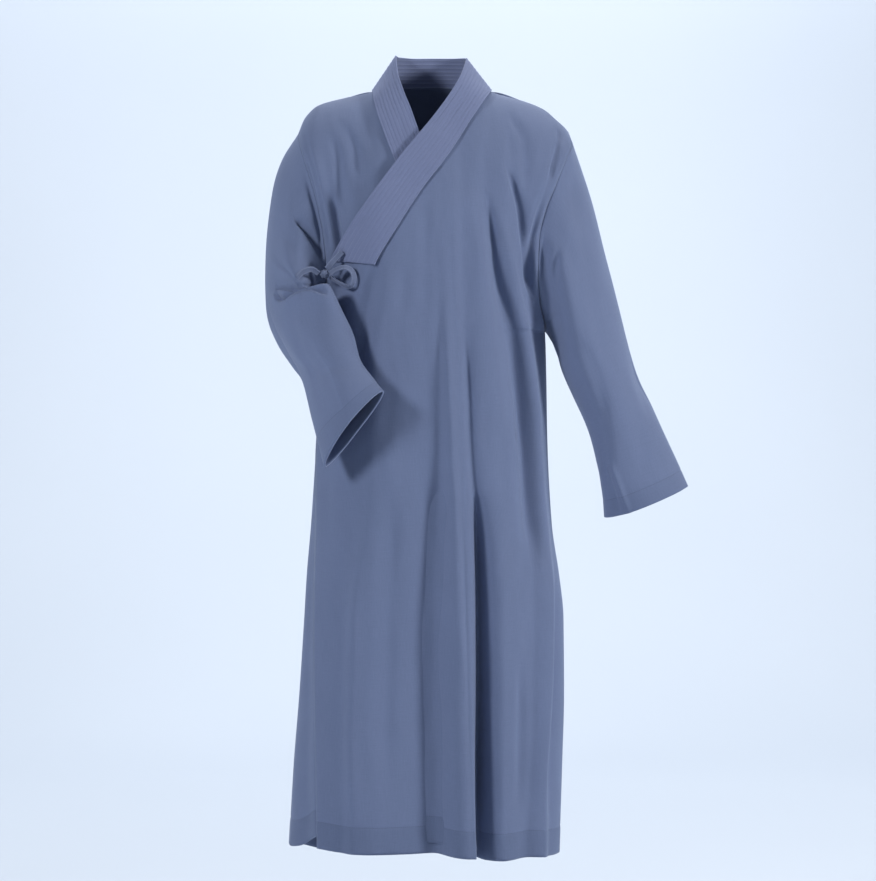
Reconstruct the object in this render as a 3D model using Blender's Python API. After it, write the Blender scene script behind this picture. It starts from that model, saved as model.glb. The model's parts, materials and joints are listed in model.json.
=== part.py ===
"""A monk's long cross-over robe in its worn, hollow shape, with one closed cloth body for each cut piece.

The frame has +Z up, the front towards -Y and the wearer's left at +X. The origin is at the middle of the neck, at
the height where the neck meets the shoulders. All sizes and tables are in millimetres.
"""

import bisect
import math
from collections import namedtuple

import bmesh
import bpy
from mathutils import Vector

MM = 0.001
COLLECTION = "monk_robe"

CLOTH = 1.5
TURNED_CLOTH = 2.8
BAND_CLOTH = 2.6
SEAM_GAP = 0.9
SLEEVE_PULL = 0.8
LAYER_GAP = 1.3
OVERLAP_LIFT = 7.5
HEM_DEPTH = 42.0
CUFF_DEPTH = 30.0
TURN_STEP = 1.0

UNDERARM = -388.0
ARM_ROWS = 12
SKIRT_ROWS = 10
SHOULDER_ROLL = 150.0
ARMHOLE_DEPTH = 74.0
ARMHOLE_MIDDLE = -255.0
SIDE_ROUNDNESS = 2.4
FOLDS_START = -55.0
FOLDS_FULL = -125.0
SIDE_PLANE = 0.2

COLOURS = {
    "panels": (0.125, 0.155, 0.25, 1.0),
    "band": (0.15, 0.18, 0.285, 1.0),
    "tie": (0.115, 0.14, 0.23, 1.0),
}
CLOTH_ROUGHNESS = 0.85

Section = namedtuple("Section", "height right left front back")
BODY = (
    Section(60, -217, 227, 84, 94),
    Section(-60, -217, 227, 94, 102),
    Section(-85, -213, 227, 99, 107),
    Section(-120, -203, 213, 107, 113),
    Section(-160, -190, 197, 116, 118),
    Section(-200, -180, 181, 124, 122),
    Section(-245, -172, 171, 128, 125),
    Section(-300, -168, 169, 131, 127),
    Section(-345, -168, 173, 132, 128),
    Section(-388, -171, 183, 133, 129),
    Section(-450, -177, 185, 134, 129),
    Section(-567, -187, 187, 135, 130),
    Section(-700, -196, 194, 137, 131),
    Section(-782, -203, 206, 139, 133),
    Section(-850, -207, 213, 140, 134),
    Section(-973, -215, 214, 142, 137),
    Section(-1086, -224, 211, 145, 140),
    Section(-1240, -233, 206, 149, 143),
)

Ridge = namedtuple("Ridge", "x height")
SHOULDER_RIDGE = (
    Ridge(-217, -70),
    Ridge(-205, -42),
    Ridge(-183, -22),
    Ridge(-140, -10),
    Ridge(-96, 0),
    Ridge(-80, 13),
    Ridge(-50, 30),
    Ridge(0, 38),
    Ridge(50, 30),
    Ridge(80, 13),
    Ridge(96, 0),
    Ridge(150, -16),
    Ridge(181, -29),
    Ridge(200, -45),
    Ridge(221, -66),
    Ridge(227, -82),
)

LEVELS = (-100, -300, -450, -600, -850, -1240)
FoldLine = namedtuple("FoldLine", "name columns x rise")
FRONT_LINES = (
    FoldLine("right side", 2, None, (0, 0, 0, 0, 0, 0)),
    FoldLine("side hollow", 2, (-195, -164, -172, -184, -198, -205), (0, 0, 0, 0, -3, -6)),
    FoldLine("armhole hollow", 3, (-168, -150, -150, -160, -181, -176), (-2, -7, 0, 0, 2, 3)),
    FoldLine("chest hollow", 2, (-120, -112, -112, -112, -135, -140), (-5, -1, 0, 0, 0, 2)),
    FoldLine("wide ridge", 4, (-90, -85, -88, -86, -110, -118), (2, 0, 1, 2, 7, 9)),
    FoldLine("middle hollow", 3, (-20, 5, 10, 9, -2, 3), (0, -1, -5, -9, -11, -13)),
    FoldLine("pleat ridge", 2, (20, 22, 26, 33, 44, 54), (0, 1, 3, 4, 11, 16)),
    FoldLine("pleat edge", 2, (30, 34, 42, 48, 54, 65), (0, 0, -1, -2, 4, 12)),
    FoldLine("pleat bottom", 3, (47, 48, 58, 66, 78, 76), (-1, -5, -8, -10, -21, -30)),
    FoldLine("left ridge", 3, (66, 78, 96, 112, 114, 112), (0, 1, 2, 3, 5, 7)),
    FoldLine("long hollow", 2, (84, 103, 137, 158, 163, 150), (-1, -8, -13, -12, -4, -4)),
    FoldLine("side ridge", 2, (112, 130, 161, 174, 187, 172), (0, 0, 1, 2, 6, 7)),
    FoldLine("armpit hollow", 3, (128, 154, 174, 182, 201, 190), (-5, -6, -3, 0, -3, -5)),
    FoldLine("left side", 0, None, (0, 0, 0, 0, 0, 0)),
)
BACK_LINES = (
    FoldLine("right side", 3, None, (0, 0, 0, 0, 0, 0)),
    FoldLine("right hollow", 3, (-170, -140, -150, -160, -185, -195), (-3, -6, -5, -3, -8, -10)),
    FoldLine("right ridge", 3, (-110, -100, -105, -115, -130, -140), (0, 2, 3, 4, 8, 10)),
    FoldLine("right pleat", 3, (-60, -55, -60, -66, -75, -80), (-2, -4, -6, -8, -14, -18)),
    FoldLine("middle ridge", 3, (0, 0, -5, -8, -10, -12), (0, 1, 2, 4, 8, 10)),
    FoldLine("left pleat", 3, (60, 58, 62, 60, 58, 55), (-2, -3, -5, -9, -12, -15)),
    FoldLine("left ridge", 3, (105, 100, 110, 115, 118, 120), (0, 1, 3, 5, 9, 12)),
    FoldLine("left hollow", 3, (165, 140, 155, 163, 172, 170), (-3, -5, -4, -3, -7, -9)),
    FoldLine("left side", 0, None, (0, 0, 0, 0, 0, 0)),
)

FREE_EDGE = (-157, -157, -168, -180, -181, -174)
FREE_EDGE_COLUMNS = 4
OUTER_FIRST_LINE = 4
INNER_EDGE = 35.0
INNER_LAST_LINE = 5
INNER_EDGE_COLUMNS = 2

EdgePoint = namedtuple("EdgePoint", "x height")
OUTER_TOP = (
    EdgePoint(-157, -286),
    EdgePoint(-140, -272),
    EdgePoint(-110, -262),
    EdgePoint(-81, -250),
    EdgePoint(-55, -211),
    EdgePoint(-6, -139),
    EdgePoint(27, -106),
    EdgePoint(50, -69),
    EdgePoint(76, -32),
    EdgePoint(91, -9),
    EdgePoint(96, 0),
)
INNER_TOP = (
    EdgePoint(-96, 0),
    EdgePoint(-93, -14),
    EdgePoint(-87, -38),
    EdgePoint(-73, -74),
    EdgePoint(-53, -112),
    EdgePoint(-24, -180),
    EdgePoint(0, -238),
    EdgePoint(35, -316),
)
BACK_NECK = (
    EdgePoint(-96, 0),
    EdgePoint(-80, 3),
    EdgePoint(-50, 7),
    EdgePoint(0, 8),
    EdgePoint(50, 7),
    EdgePoint(80, 3),
    EdgePoint(96, 0),
)
OUTER_HEM = (
    EdgePoint(-175, -1207),
    EdgePoint(-120, -1211),
    EdgePoint(0, -1210),
    EdgePoint(30, -1213),
    EdgePoint(65, -1216),
    EdgePoint(90, -1223),
    EdgePoint(150, -1222),
    EdgePoint(198, -1228),
)
INNER_HEM = (
    EdgePoint(-226, -1216),
    EdgePoint(-216, -1212),
    EdgePoint(-178, -1190),
    EdgePoint(-120, -1192),
    EdgePoint(35, -1196),
)
BACK_HEM = (
    EdgePoint(-226, -1216),
    EdgePoint(-212, -1229),
    EdgePoint(-180, -1240),
    EdgePoint(-100, -1240),
    EdgePoint(0, -1236),
    EdgePoint(120, -1231),
    EdgePoint(198, -1228),
)

Station = namedtuple("Station", "outer front under back")
LEFT_SLEEVE = (
    Station((242, 0, -125), (196, -84, -262), (192, -3, -400), (200, 80, -262)),
    Station((262, 0, -188), (212, -90, -300), (197, -6, -411), (222, 78, -300)),
    Station((283, -4, -275), (227, -92, -350), (203, -8, -428), (244, 68, -345)),
    Station((303, -8, -355), (242, -90, -408), (210, -10, -452), (264, 56, -402)),
    Station((330, -14, -455), (270, -84, -486), (232, -10, -500), (290, 44, -474)),
    Station((356, -22, -515), (290, -78, -548), (258, -8, -559), (318, 38, -532)),
    Station((389, -31, -592), (299, -70, -632), (279, 2, -632), (345, 32, -607)),
    Station((411, -38, -638), (316, -62, -680), (283, 6, -683), (350, 28, -657)),
)
RIGHT_SLEEVE = (
    Station((-240, 0, -104), (-192, -86, -262), (-181, -24, -397), (-205, 82, -255)),
    Station((-256, 0, -150), (-202, -98, -290), (-178, -54, -388), (-226, 82, -295)),
    Station((-264, -2, -205), (-207, -108, -310), (-170, -80, -366), (-240, 75, -335)),
    Station((-267, -6, -268), (-209, -114, -322), (-163, -100, -350), (-246, 58, -372)),
    Station((-266, -10, -330), (-206, -118, -336), (-156, -114, -338), (-236, 28, -402)),
    Station((-252, -28, -382), (-196, -132, -380), (-136, -126, -370), (-214, -20, -432)),
    Station((-228, -52, -428), (-180, -150, -420), (-122, -136, -402), (-186, -62, -462)),
    Station((-207, -72, -464), (-160, -168, -452), (-110, -146, -440), (-162, -98, -492)),
    Station((-189, -110, -531), (-143, -186, -497), (-92, -166, -466), (-140, -130, -530)),
    Station((-168, -152, -606), (-128, -197, -537), (-74, -186, -489), (-119, -159, -556)),
)
SLEEVE_STEPS = 2
SLEEVE_CORNER = 1.0

SleeveFold = namedtuple("SleeveFold", "station turn long wide depth")
LEFT_SLEEVE_FOLDS = (
    SleeveFold(1.3, 45, 1.2, 14, -5),
    SleeveFold(2.4, 140, 1.6, 20, -6),
    SleeveFold(4.6, 250, 1.6, 26, -5),
)
RIGHT_SLEEVE_FOLDS = (
    SleeveFold(2.6, 38, 1.4, 18, -5),
    SleeveFold(4.6, 70, 0.35, 60, -9),
    SleeveFold(5.2, 60, 0.35, 55, 5),
    SleeveFold(4.0, 150, 0.5, 26, -6),
)

BandRow = namedtuple("BandRow", "foot_x foot_z top_x top_y top_z lie")
BAND = (
    BandRow(-87, -289, -158, 0, -280, 1.0),
    BandRow(-74, -264, -143, 0, -252, 1.0),
    BandRow(-58, -238, -122, 0, -219, 1.0),
    BandRow(-38, -205, -98, 0, -185, 1.0),
    BandRow(-12, -165, -70, 0, -145, 1.0),
    BandRow(16, -128, -42, 0, -107, 1.0),
    BandRow(40, -92, -16, -97, -75, 0.7),
    BandRow(60, -58, 10, -84, -40, 0.25),
    BandRow(78, -29, 32, -66, -6, 0.0),
    BandRow(90, -9, 47, -42, 24, 0.0),
    BandRow(95, 1, 54, -8, 50, 0.0),
)
BAND_BACK = (
    BandRow(92, 1, 53, 18, 56, 0.0),
    BandRow(80, 2.5, 46, 36, 59, 0.0),
    BandRow(50, 5.5, 29, 48, 61, 0.0),
    BandRow(0, 6.5, 0, 53, 62, 0.0),
    BandRow(-50, 5.5, -29, 48, 61, 0.0),
    BandRow(-80, 2.5, -46, 36, 60, 0.0),
    BandRow(-92, 1, -54, 18, 58, 0.0),
)
BAND_INNER = (
    BandRow(-95, 1, -57, -6, 55, 0.0),
    BandRow(-92, -15, -54, -38, 24, 0.0),
    BandRow(-87, -40, -45, -62, -6, 0.0),
    BandRow(-75, -78, -33, -78, -38, 0.2),
    BandRow(-60, -118, -20, -88, -76, 0.7),
    BandRow(-44, -155, -2, 0, -120, 1.0),
    BandRow(-28, -192, 15, 0, -160, 1.0),
    BandRow(-10, -235, 32, 0, -206, 1.0),
)
BAND_STEPS = 2
BAND_CELLS = 4

TiePoint = namedtuple("TiePoint", "x y height lean")
TIE_TAB = (
    TiePoint(-141, -109.6, -267, 10),
    TiePoint(-150, -107.6, -276, 10),
    TiePoint(-158, -108, -284, 20),
    TiePoint(-166, -106, -293.6, 30),
)
TIE_LOOP = (
    TiePoint(-160.4, -109.4, -303, 30),
    TiePoint(-150, -114, -296, 40),
    TiePoint(-136, -119, -293, 35),
    TiePoint(-125, -120, -300, 30),
    TiePoint(-123, -119, -313, 30),
    TiePoint(-130, -116, -322, 50),
    TiePoint(-143, -111, -317, 60),
    TiePoint(-154, -105, -310, 60),
    TiePoint(-160.2, -102, -305, 50),
)
TIE_LEAF = (
    TiePoint(-178.3, -106, -301, 20),
    TiePoint(-189, -113, -295, 25),
    TiePoint(-202, -119, -299, 30),
    TiePoint(-212, -122, -308, 30),
)
TIE_WIDTH = 10.0
TIE_CLOTH = 2.4
TIE_STEPS = 3
KNOT_MIDDLE = (-169, -104, -302)
KNOT_RADII = (8.0, 7.0, 7.5)
KNOT_SIDES = 14
KNOT_RINGS = 8


def through(points):
    """Returns a smooth function through (place, value) points, which never overshoots and holds its end values."""
    points = sorted(points)
    places = [place for place, _ in points]
    values = [value for _, value in points]
    slopes = [
        (values[i + 1] - values[i]) / (places[i + 1] - places[i]) for i in range(len(points) - 1)
    ]
    tangents = [slopes[0]]
    for before, after in zip(slopes, slopes[1:]):
        tangents.append(2 * before * after / (before + after) if before * after > 0 else 0.0)
    tangents.append(slopes[-1])

    def value_at(place):
        if place <= places[0]:
            return values[0]
        if place >= places[-1]:
            return values[-1]
        i = bisect.bisect_right(places, place) - 1
        span = places[i + 1] - places[i]
        t = (place - places[i]) / span
        return (
            values[i] * (2 * t**3 - 3 * t**2 + 1)
            + values[i + 1] * (3 * t**2 - 2 * t**3)
            + tangents[i] * span * (t**3 - 2 * t**2 + t)
            + tangents[i + 1] * span * (t**3 - t**2)
        )

    return value_at


def smooth_step(t):
    """Eases from 0 to 1 as t goes from 0 to 1."""
    t = min(max(t, 0.0), 1.0)
    return t * t * (3 - 2 * t)


RIGHT = through([(row.height, row.right) for row in BODY])
LEFT = through([(row.height, row.left) for row in BODY])
FRONT_DEPTH = through([(row.height, row.front) for row in BODY])
BACK_DEPTH = through([(row.height, row.back) for row in BODY])
RIDGE = through([(row.x, row.height) for row in SHOULDER_RIDGE])
RIGHT_TIP = SHOULDER_RIDGE[0].height
LEFT_TIP = SHOULDER_RIDGE[-1].height


def line_functions(lines):
    """Returns for each fold line its x and its rise as functions of height."""
    result = []
    for line in lines:
        if line.x is None:
            edge = RIGHT if line.name == "right side" else LEFT
        else:
            edge = through(list(zip(LEVELS, line.x)))
        result.append((edge, through(list(zip(LEVELS, line.rise)))))
    return result


FRONT_GUIDES = line_functions(FRONT_LINES)
BACK_GUIDES = line_functions(BACK_LINES)
FREE_EDGE_X = through(list(zip(LEVELS, FREE_EDGE)))


def fold_rise(guides, x, z):
    """Height of the folds at x and z, from the two fold lines on either side."""
    fade = smooth_step((FOLDS_START - z) / (FOLDS_START - FOLDS_FULL))
    places = [edge(z) for edge, _ in guides]
    i = min(max(bisect.bisect_right(places, x) - 1, 0), len(guides) - 2)
    t = smooth_step((x - places[i]) / (places[i + 1] - places[i]))
    return fade * ((1 - t) * guides[i][1](z) + t * guides[i + 1][1](z))


def torso_depth(depth, x, z):
    """Distance of the plain torso surface from the side plane at x and z."""
    half = LEFT(z) if x > 0 else -RIGHT(z)
    across = min(abs(x) / half, 1.0)
    drop = min(max((ARMHOLE_MIDDLE - z) / (ARMHOLE_MIDDLE - UNDERARM), 0.0), 1.0)
    hold = math.sqrt(1 - drop**2)
    rim = ARMHOLE_DEPTH * hold
    full = rim + (depth(z) - rim) * (1 - across**SIDE_ROUNDNESS) ** (0.5 + 0.3 * hold)
    roll = min(max((RIDGE(x) - z) / SHOULDER_ROLL, 0.0), 1.0)
    return full * math.sqrt(1 - (1 - roll) ** 2)


def torso(face, x, z, lift=0.0):
    """Point of the torso's front (face -1) or back (face 1) at x and z, with its folds, moved out by lift."""
    depth, guides = (FRONT_DEPTH, FRONT_GUIDES) if face < 0 else (BACK_DEPTH, BACK_GUIDES)
    here = torso_depth(depth, x, z)
    inward = -0.5 if x > 0 else 0.5
    slope = (torso_depth(depth, x + inward, z) - here) / inward
    out = Vector((-slope, face, 0.0)).normalized()
    return Vector((x, face * here, z)) + out * (fold_rise(guides, x, z) + lift)


def overlap_lift(x, z):
    """Lift of the outer front, full where the inner front and its band lie under it."""
    border = min(-20 - 0.42 * (z + 75), INNER_EDGE + 25) + 8
    return OVERLAP_LIFT * (1 - smooth_step((x - border) / 60))


def columns_between(places, counts):
    """Splits each gap between places into its count of equal columns."""
    result = [places[0]]
    for i, count in enumerate(counts):
        step = (places[i + 1] - places[i]) / count
        result += [places[i] + step * (k + 1) for k in range(count)]
    return result


def panel_points(face, line_places, counts, top, hem, lift=None):
    """Grid of a torso panel: rows from its top edge to its hem, columns along its fold lines."""
    total = sum(counts)
    columns = []
    for c in range(total + 1):
        z_top = -200.0
        for _ in range(12):
            z_top = top(columns_between(line_places(z_top), counts)[c])
        z_hem = hem(columns_between(line_places(-1200.0), counts)[c])
        heights = [
            z_top + (UNDERARM - z_top) * (1 - math.cos(math.pi * k / ARM_ROWS)) / 2
            for k in range(ARM_ROWS)
        ]
        turn = z_hem + HEM_DEPTH
        heights += [UNDERARM + (turn + TURN_STEP - UNDERARM) * k / SKIRT_ROWS for k in range(SKIRT_ROWS + 1)]
        heights += [turn, z_hem]
        column = []
        for z in heights:
            x = columns_between(line_places(z), counts)[c]
            column.append(torso(face, x, z, lift(x, z) if lift else 0.0))
        columns.append(column)
    return [list(row) for row in zip(*columns)]


def top_edge(*parts):
    """Top edge of a panel as a function of x, from its edge points."""
    return through([(point.x, point.height) for part in parts for point in part])


def shoulder_points(low, high):
    """Points of the shoulder ridge from x low to x high."""
    return [row for row in SHOULDER_RIDGE if low <= row.x <= high]


def outer_front():
    """Grid of the wearer's left front, which crosses over to the right side."""
    guides = FRONT_GUIDES[OUTER_FIRST_LINE:]
    counts = [FREE_EDGE_COLUMNS] + [line.columns for line in FRONT_LINES[OUTER_FIRST_LINE:-1]]
    top = top_edge(OUTER_TOP[:-1], shoulder_points(96, 230))
    hem = top_edge(OUTER_HEM)
    return panel_points(
        -1, lambda z: [FREE_EDGE_X(z)] + [edge(z) for edge, _ in guides], counts, top, hem, overlap_lift
    )


def inner_front():
    """Grid of the wearer's right front, which lies under the other."""
    guides = FRONT_GUIDES[: INNER_LAST_LINE + 1]
    counts = [line.columns for line in FRONT_LINES[:INNER_LAST_LINE]] + [INNER_EDGE_COLUMNS]
    top = top_edge(shoulder_points(-220, -97), INNER_TOP)
    hem = top_edge(INNER_HEM)
    return panel_points(-1, lambda z: [edge(z) for edge, _ in guides] + [INNER_EDGE], counts, top, hem)


def back_panel():
    """Grid of the back, from side to side and up to the neck."""
    counts = [line.columns for line in BACK_LINES[:-1]]
    top = top_edge(shoulder_points(-220, -97), BACK_NECK, shoulder_points(97, 230))
    return panel_points(1, lambda z: [edge(z) for edge, _ in BACK_GUIDES], counts, top, top_edge(BACK_HEM))


def ring(station, count):
    """Points round one sleeve station, from its outer side over the front to the under side and the back."""
    middle = sum((Vector(point) for point in station), Vector()) / 4
    outer, front, under, back = (Vector(point) - middle for point in station)
    result = []
    for k in range(count):
        turn = 2 * math.pi * k / count
        along, across = math.cos(turn), math.sin(turn)
        long_side = outer if along > 0 else under
        wide_side = front if across > 0 else back
        result.append(
            middle + long_side * abs(along) ** SLEEVE_CORNER + wide_side * abs(across) ** SLEEVE_CORNER
        )
    return result


def spline(points, t):
    """Point at t on a smooth curve through the points, one unit of t a point."""
    i = min(int(t), len(points) - 2)
    f = t - i
    b, c = points[i], points[i + 1]
    a = points[i - 1] if i else b * 2 - c
    d = points[i + 2] if i + 2 < len(points) else c * 2 - b
    return (b * 2 + (c - a) * f + (a * 2 - b * 5 + c * 4 - d) * f**2 + (b * 3 - a - c * 3 + d) * f**3) / 2


def sleeve_points(root, stations, folds):
    """Grid of a sleeve: rings from the armhole to the cuff, with its folds pressed in."""
    count = len(root)
    rings = [root] + [ring(station, count) for station in stations]
    last = len(rings) - 1
    middles = [sum(points, Vector()) / count for points in rings]
    turn_at = last - CUFF_DEPTH / (middles[-1] - middles[-2]).length
    step = TURN_STEP / (middles[-1] - middles[-2]).length
    places = [k / SLEEVE_STEPS for k in range(last * SLEEVE_STEPS + 1)]
    places = [p for p in places if abs(p - turn_at) > 0.2] + [turn_at - step, turn_at]
    grid = []
    for place in sorted(places):
        row = [spline([points[k] for points in rings], place) for k in range(count)]
        middle = sum(row, Vector()) / count
        for k, point in enumerate(row):
            push = 0.0
            for fold in folds:
                off = (k * 360 / count - fold.turn + 180) % 360 - 180
                reach = ((place - fold.station) / fold.long) ** 2 + (off / fold.wide) ** 2
                push += fold.depth * math.exp(-reach)
            ease = smooth_step(place) * smooth_step(last - place + 0.4)
            row[k] = point + (point - middle).normalized() * push * ease
        grid.append(row)
    return grid


def armhole(front, back, column):
    """Root ring of a sleeve, from the side columns of the front and back grids."""
    down = [front[k][column] for k in range(ARM_ROWS + 1)]
    up = [back[k][column] for k in range(ARM_ROWS - 1, 0, -1)]
    return down + up


def band_points():
    """Grid of the collar band's inner face: one row a station, from the seam to the free edge."""
    rows = [(row, -1, True) for row in BAND]
    rows += [(row, 1, False) for row in BAND_BACK]
    rows += [(row, -1, False) for row in BAND_INNER]
    lines = []
    for row, face, outer in rows:
        line = []
        for k in range(BAND_CELLS + 1):
            v = k / BAND_CELLS
            x = row.foot_x + (row.top_x - row.foot_x) * v
            z = row.foot_z + (row.top_z - row.foot_z) * v
            raised = LAYER_GAP + (overlap_lift(x, z) if outer else 0.0)
            foot = torso(face, row.foot_x, row.foot_z, raised)
            free = foot.lerp(Vector((row.top_x, row.top_y, row.top_z)), v)
            line.append(torso(face, x, z, raised).lerp(free, 1 - row.lie))
        lines.append(line)
    count = (len(lines) - 1) * BAND_STEPS
    return [
        [spline([line[k] for line in lines], i / BAND_STEPS) for k in range(BAND_CELLS + 1)]
        for i in range(count + 1)
    ]


def strip_points(route):
    """Grid of a flat tie: rows along its route, columns across its width."""
    places = [Vector((point.x, point.y, point.height)) for point in route]
    leans = [Vector((point.lean, 0, 0)) for point in route]
    count = (len(route) - 1) * TIE_STEPS
    middles = [spline(places, i / TIE_STEPS) for i in range(count + 1)]
    grid = []
    for i, middle in enumerate(middles):
        along = (middles[min(i + 1, count)] - middles[max(i - 1, 0)]).normalized()
        lean = math.radians(spline(leans, i / TIE_STEPS).x)
        flat = along.cross(Vector((0, 1, 0))).normalized()
        deep = flat.cross(along).normalized()
        half = (flat * math.cos(lean) + deep * math.sin(lean)) * (TIE_WIDTH / 2)
        grid.append([middle - half, middle, middle + half])
    return grid


def add_knot(collection):
    """Adds the tie's knot, a rounded body at the end of the band."""
    mesh = bpy.data.meshes.new("tie_knot")
    knot = bmesh.new()
    bmesh.ops.create_uvsphere(knot, u_segments=KNOT_SIDES, v_segments=KNOT_RINGS, radius=MM)
    bmesh.ops.scale(knot, vec=KNOT_RADII, verts=knot.verts)
    bmesh.ops.translate(knot, vec=Vector(KNOT_MIDDLE) * MM, verts=knot.verts)
    knot.to_mesh(mesh)
    knot.free()
    add_object(collection, "tie_knot", mesh, "tie")


def grid_normals(grid, closed):
    """Sum of the normals of the cells round each point of a grid."""
    rows, columns = len(grid), len(grid[0])
    sums = [[Vector() for _ in range(columns)] for _ in range(rows)]
    for i in range(rows - 1):
        for j in range(columns if closed else columns - 1):
            k = (j + 1) % columns
            across = grid[i][k] - grid[i][j] + grid[i + 1][k] - grid[i + 1][j]
            down = grid[i + 1][j] - grid[i][j] + grid[i + 1][k] - grid[i][k]
            normal = across.cross(down)
            for a, b in ((i, j), (i, k), (i + 1, j), (i + 1, k)):
                sums[a][b] += normal
    return sums


Piece = namedtuple("Piece", "name grid closed side walls pull gap material")


def share_normals(pieces):
    """Outward normals of every piece, the same for points that pieces share at a seam."""
    shared = {}
    found = []
    for piece in pieces:
        normals = grid_normals(piece.grid, piece.closed)
        found.append(normals)
        for row, points in zip(normals, piece.grid):
            for normal, point in zip(row, points):
                key = tuple(round(value, 2) for value in point)
                shared[key] = shared.get(key, Vector()) + normal.normalized() * piece.side
    result = []
    for piece in pieces:
        rows = [[shared[tuple(round(value, 2) for value in point)].copy() for point in row] for row in piece.grid]
        for row, points in zip(rows, piece.grid):
            for normal, point in zip(row, points):
                if abs(point.y) < SIDE_PLANE:
                    normal.y = 0.0
                normal.normalize()
        if piece.closed:
            for k in range(ARM_ROWS - 1, ARM_ROWS + 2):
                rows[0][k] = rows[1][k]
        result.append(rows)
    return result


def pulled_back(grid, closed, sides, distance):
    """The grid with the named border rows and columns moved in from the seam."""
    moved = [list(row) for row in grid]
    last = len(grid) - 1
    for name, row, inner in (("top", 0, 1), ("bottom", last, last - 1)):
        if name in sides:
            for j in range(len(grid[0])):
                moved[row][j] += (grid[inner][j] - grid[row][j]).normalized() * distance
    if not closed:
        for name, column, inner in (("first", 0, 1), ("last", -1, -2)):
            if name in sides:
                for i in range(len(grid)):
                    below = min(i + 1, ARM_ROWS + 1) if i <= ARM_ROWS else i
                    moved[i][column] += (grid[below][inner] - grid[i][column]).normalized() * distance
    return moved


def wall_mesh(piece, normals):
    """Closed body of a piece: its outer grid, its inner grid and the borders between them."""
    inner = [
        [point - normal * wall for point, normal in zip(row, row_normals)]
        for row, row_normals, wall in zip(piece.grid, normals, piece.walls)
    ]
    faces_in = [pulled_back(skin, piece.closed, piece.pull, piece.gap) for skin in (piece.grid, inner)]
    rows, columns = len(piece.grid), len(piece.grid[0])
    points = [point * MM for skin in faces_in for row in skin for point in row]
    faces = []
    forward = (piece.side > 0) == (piece.walls[0] > 0)

    def at(skin, i, j):
        return skin * rows * columns + i * columns + j % columns

    def add(a, b, c, d):
        faces.append((a, b, c, d) if forward else (d, c, b, a))

    for i in range(rows - 1):
        for j in range(columns if piece.closed else columns - 1):
            add(at(0, i, j), at(0, i, j + 1), at(0, i + 1, j + 1), at(0, i + 1, j))
            add(at(1, i + 1, j), at(1, i + 1, j + 1), at(1, i, j + 1), at(1, i, j))
    for j in range(columns if piece.closed else columns - 1):
        add(at(1, 0, j), at(1, 0, j + 1), at(0, 0, j + 1), at(0, 0, j))
        add(at(0, rows - 1, j), at(0, rows - 1, j + 1), at(1, rows - 1, j + 1), at(1, rows - 1, j))
    if not piece.closed:
        for i in range(rows - 1):
            add(at(0, i, 0), at(0, i + 1, 0), at(1, i + 1, 0), at(1, i, 0))
            end = columns - 1
            add(at(1, i, end), at(1, i + 1, end), at(0, i + 1, end), at(0, i, end))
    mesh = bpy.data.meshes.new(piece.name)
    mesh.from_pydata([tuple(point) for point in points], [], faces)
    mesh.update()
    return mesh


def material(name):
    """Cloth material in one of the robe's colours."""
    found = bpy.data.materials.get(name)
    if found is None:
        found = bpy.data.materials.new(name)
        found.use_nodes = True
        shader = found.node_tree.nodes["Principled BSDF"]
        shader.inputs["Base Color"].default_value = COLOURS[name]
        shader.inputs["Roughness"].default_value = CLOTH_ROUGHNESS
        shader.inputs["Metallic"].default_value = 0.0
    return found


def add_object(collection, name, mesh, material_name):
    """Adds a mesh as a named object with its material."""
    mesh.materials.append(material(material_name))
    mesh.shade_smooth()
    mesh.set_sharp_from_angle(angle=math.radians(50))
    collection.objects.link(bpy.data.objects.new(name, mesh))


def main():
    """Builds the robe's pieces in their collection."""
    for old in list(bpy.data.objects):
        bpy.data.objects.remove(old, do_unlink=True)
    collection = bpy.data.collections.new(COLLECTION)
    bpy.context.scene.collection.children.link(collection)

    front, inner, back = outer_front(), inner_front(), back_panel()
    left = sleeve_points(armhole(front, back, -1), LEFT_SLEEVE, LEFT_SLEEVE_FOLDS)
    right = sleeve_points(armhole(inner, back, 0), RIGHT_SLEEVE, RIGHT_SLEEVE_FOLDS)
    skirt = [CLOTH] * (ARM_ROWS + SKIRT_ROWS + 1) + [TURNED_CLOTH] * 2
    pieces = [
        Piece("back", back, False, 1, skirt, ("top", "first", "last"), SEAM_GAP / 2, "panels"),
        Piece("front_outer", front, False, -1, skirt, ("top", "last"), SEAM_GAP / 2, "panels"),
        Piece("front_inner", inner, False, -1, skirt, ("top", "first"), SEAM_GAP / 2, "panels"),
    ]
    for name, grid, side in (("sleeve_left", left, 1), ("sleeve_right", right, -1)):
        walls = [CLOTH] * (len(grid) - 2) + [TURNED_CLOTH] * 2
        pieces.append(Piece(name, grid, True, side, walls, ("top",), SLEEVE_PULL, "panels"))
    for piece, normals in zip(pieces, share_normals(pieces)):
        add_object(collection, piece.name, wall_mesh(piece, normals), piece.material)

    band = band_points()
    collar = Piece("collar", band, False, -1, [-BAND_CLOTH] * len(band), (), 0.0, "band")
    strips = [collar]
    for name, route in (("tie_tab", TIE_TAB), ("tie_loop", TIE_LOOP), ("tie_leaf", TIE_LEAF)):
        grid = strip_points(route)
        strips.append(Piece(name, grid, False, 1, [TIE_CLOTH] * len(grid), (), 0.0, "tie"))
    for strip in strips:
        add_object(collection, strip.name, wall_mesh(strip, share_normals([strip])[0]), strip.material)
    add_knot(collection)


main()
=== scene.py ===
"""Dresses a monk's cross-over robe in fine cloth: folds, seams, stitching and woven finishes over its frame.

Sizes are millimetres in the tables and metres in the meshes. The frame has +Z up, the front towards -Y and
the wearer's left at +X, with the origin at the middle of the neck.
"""

import json
import logging
import math
from collections.abc import Callable
from dataclasses import dataclass, field
from enum import Enum
from itertools import pairwise

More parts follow.
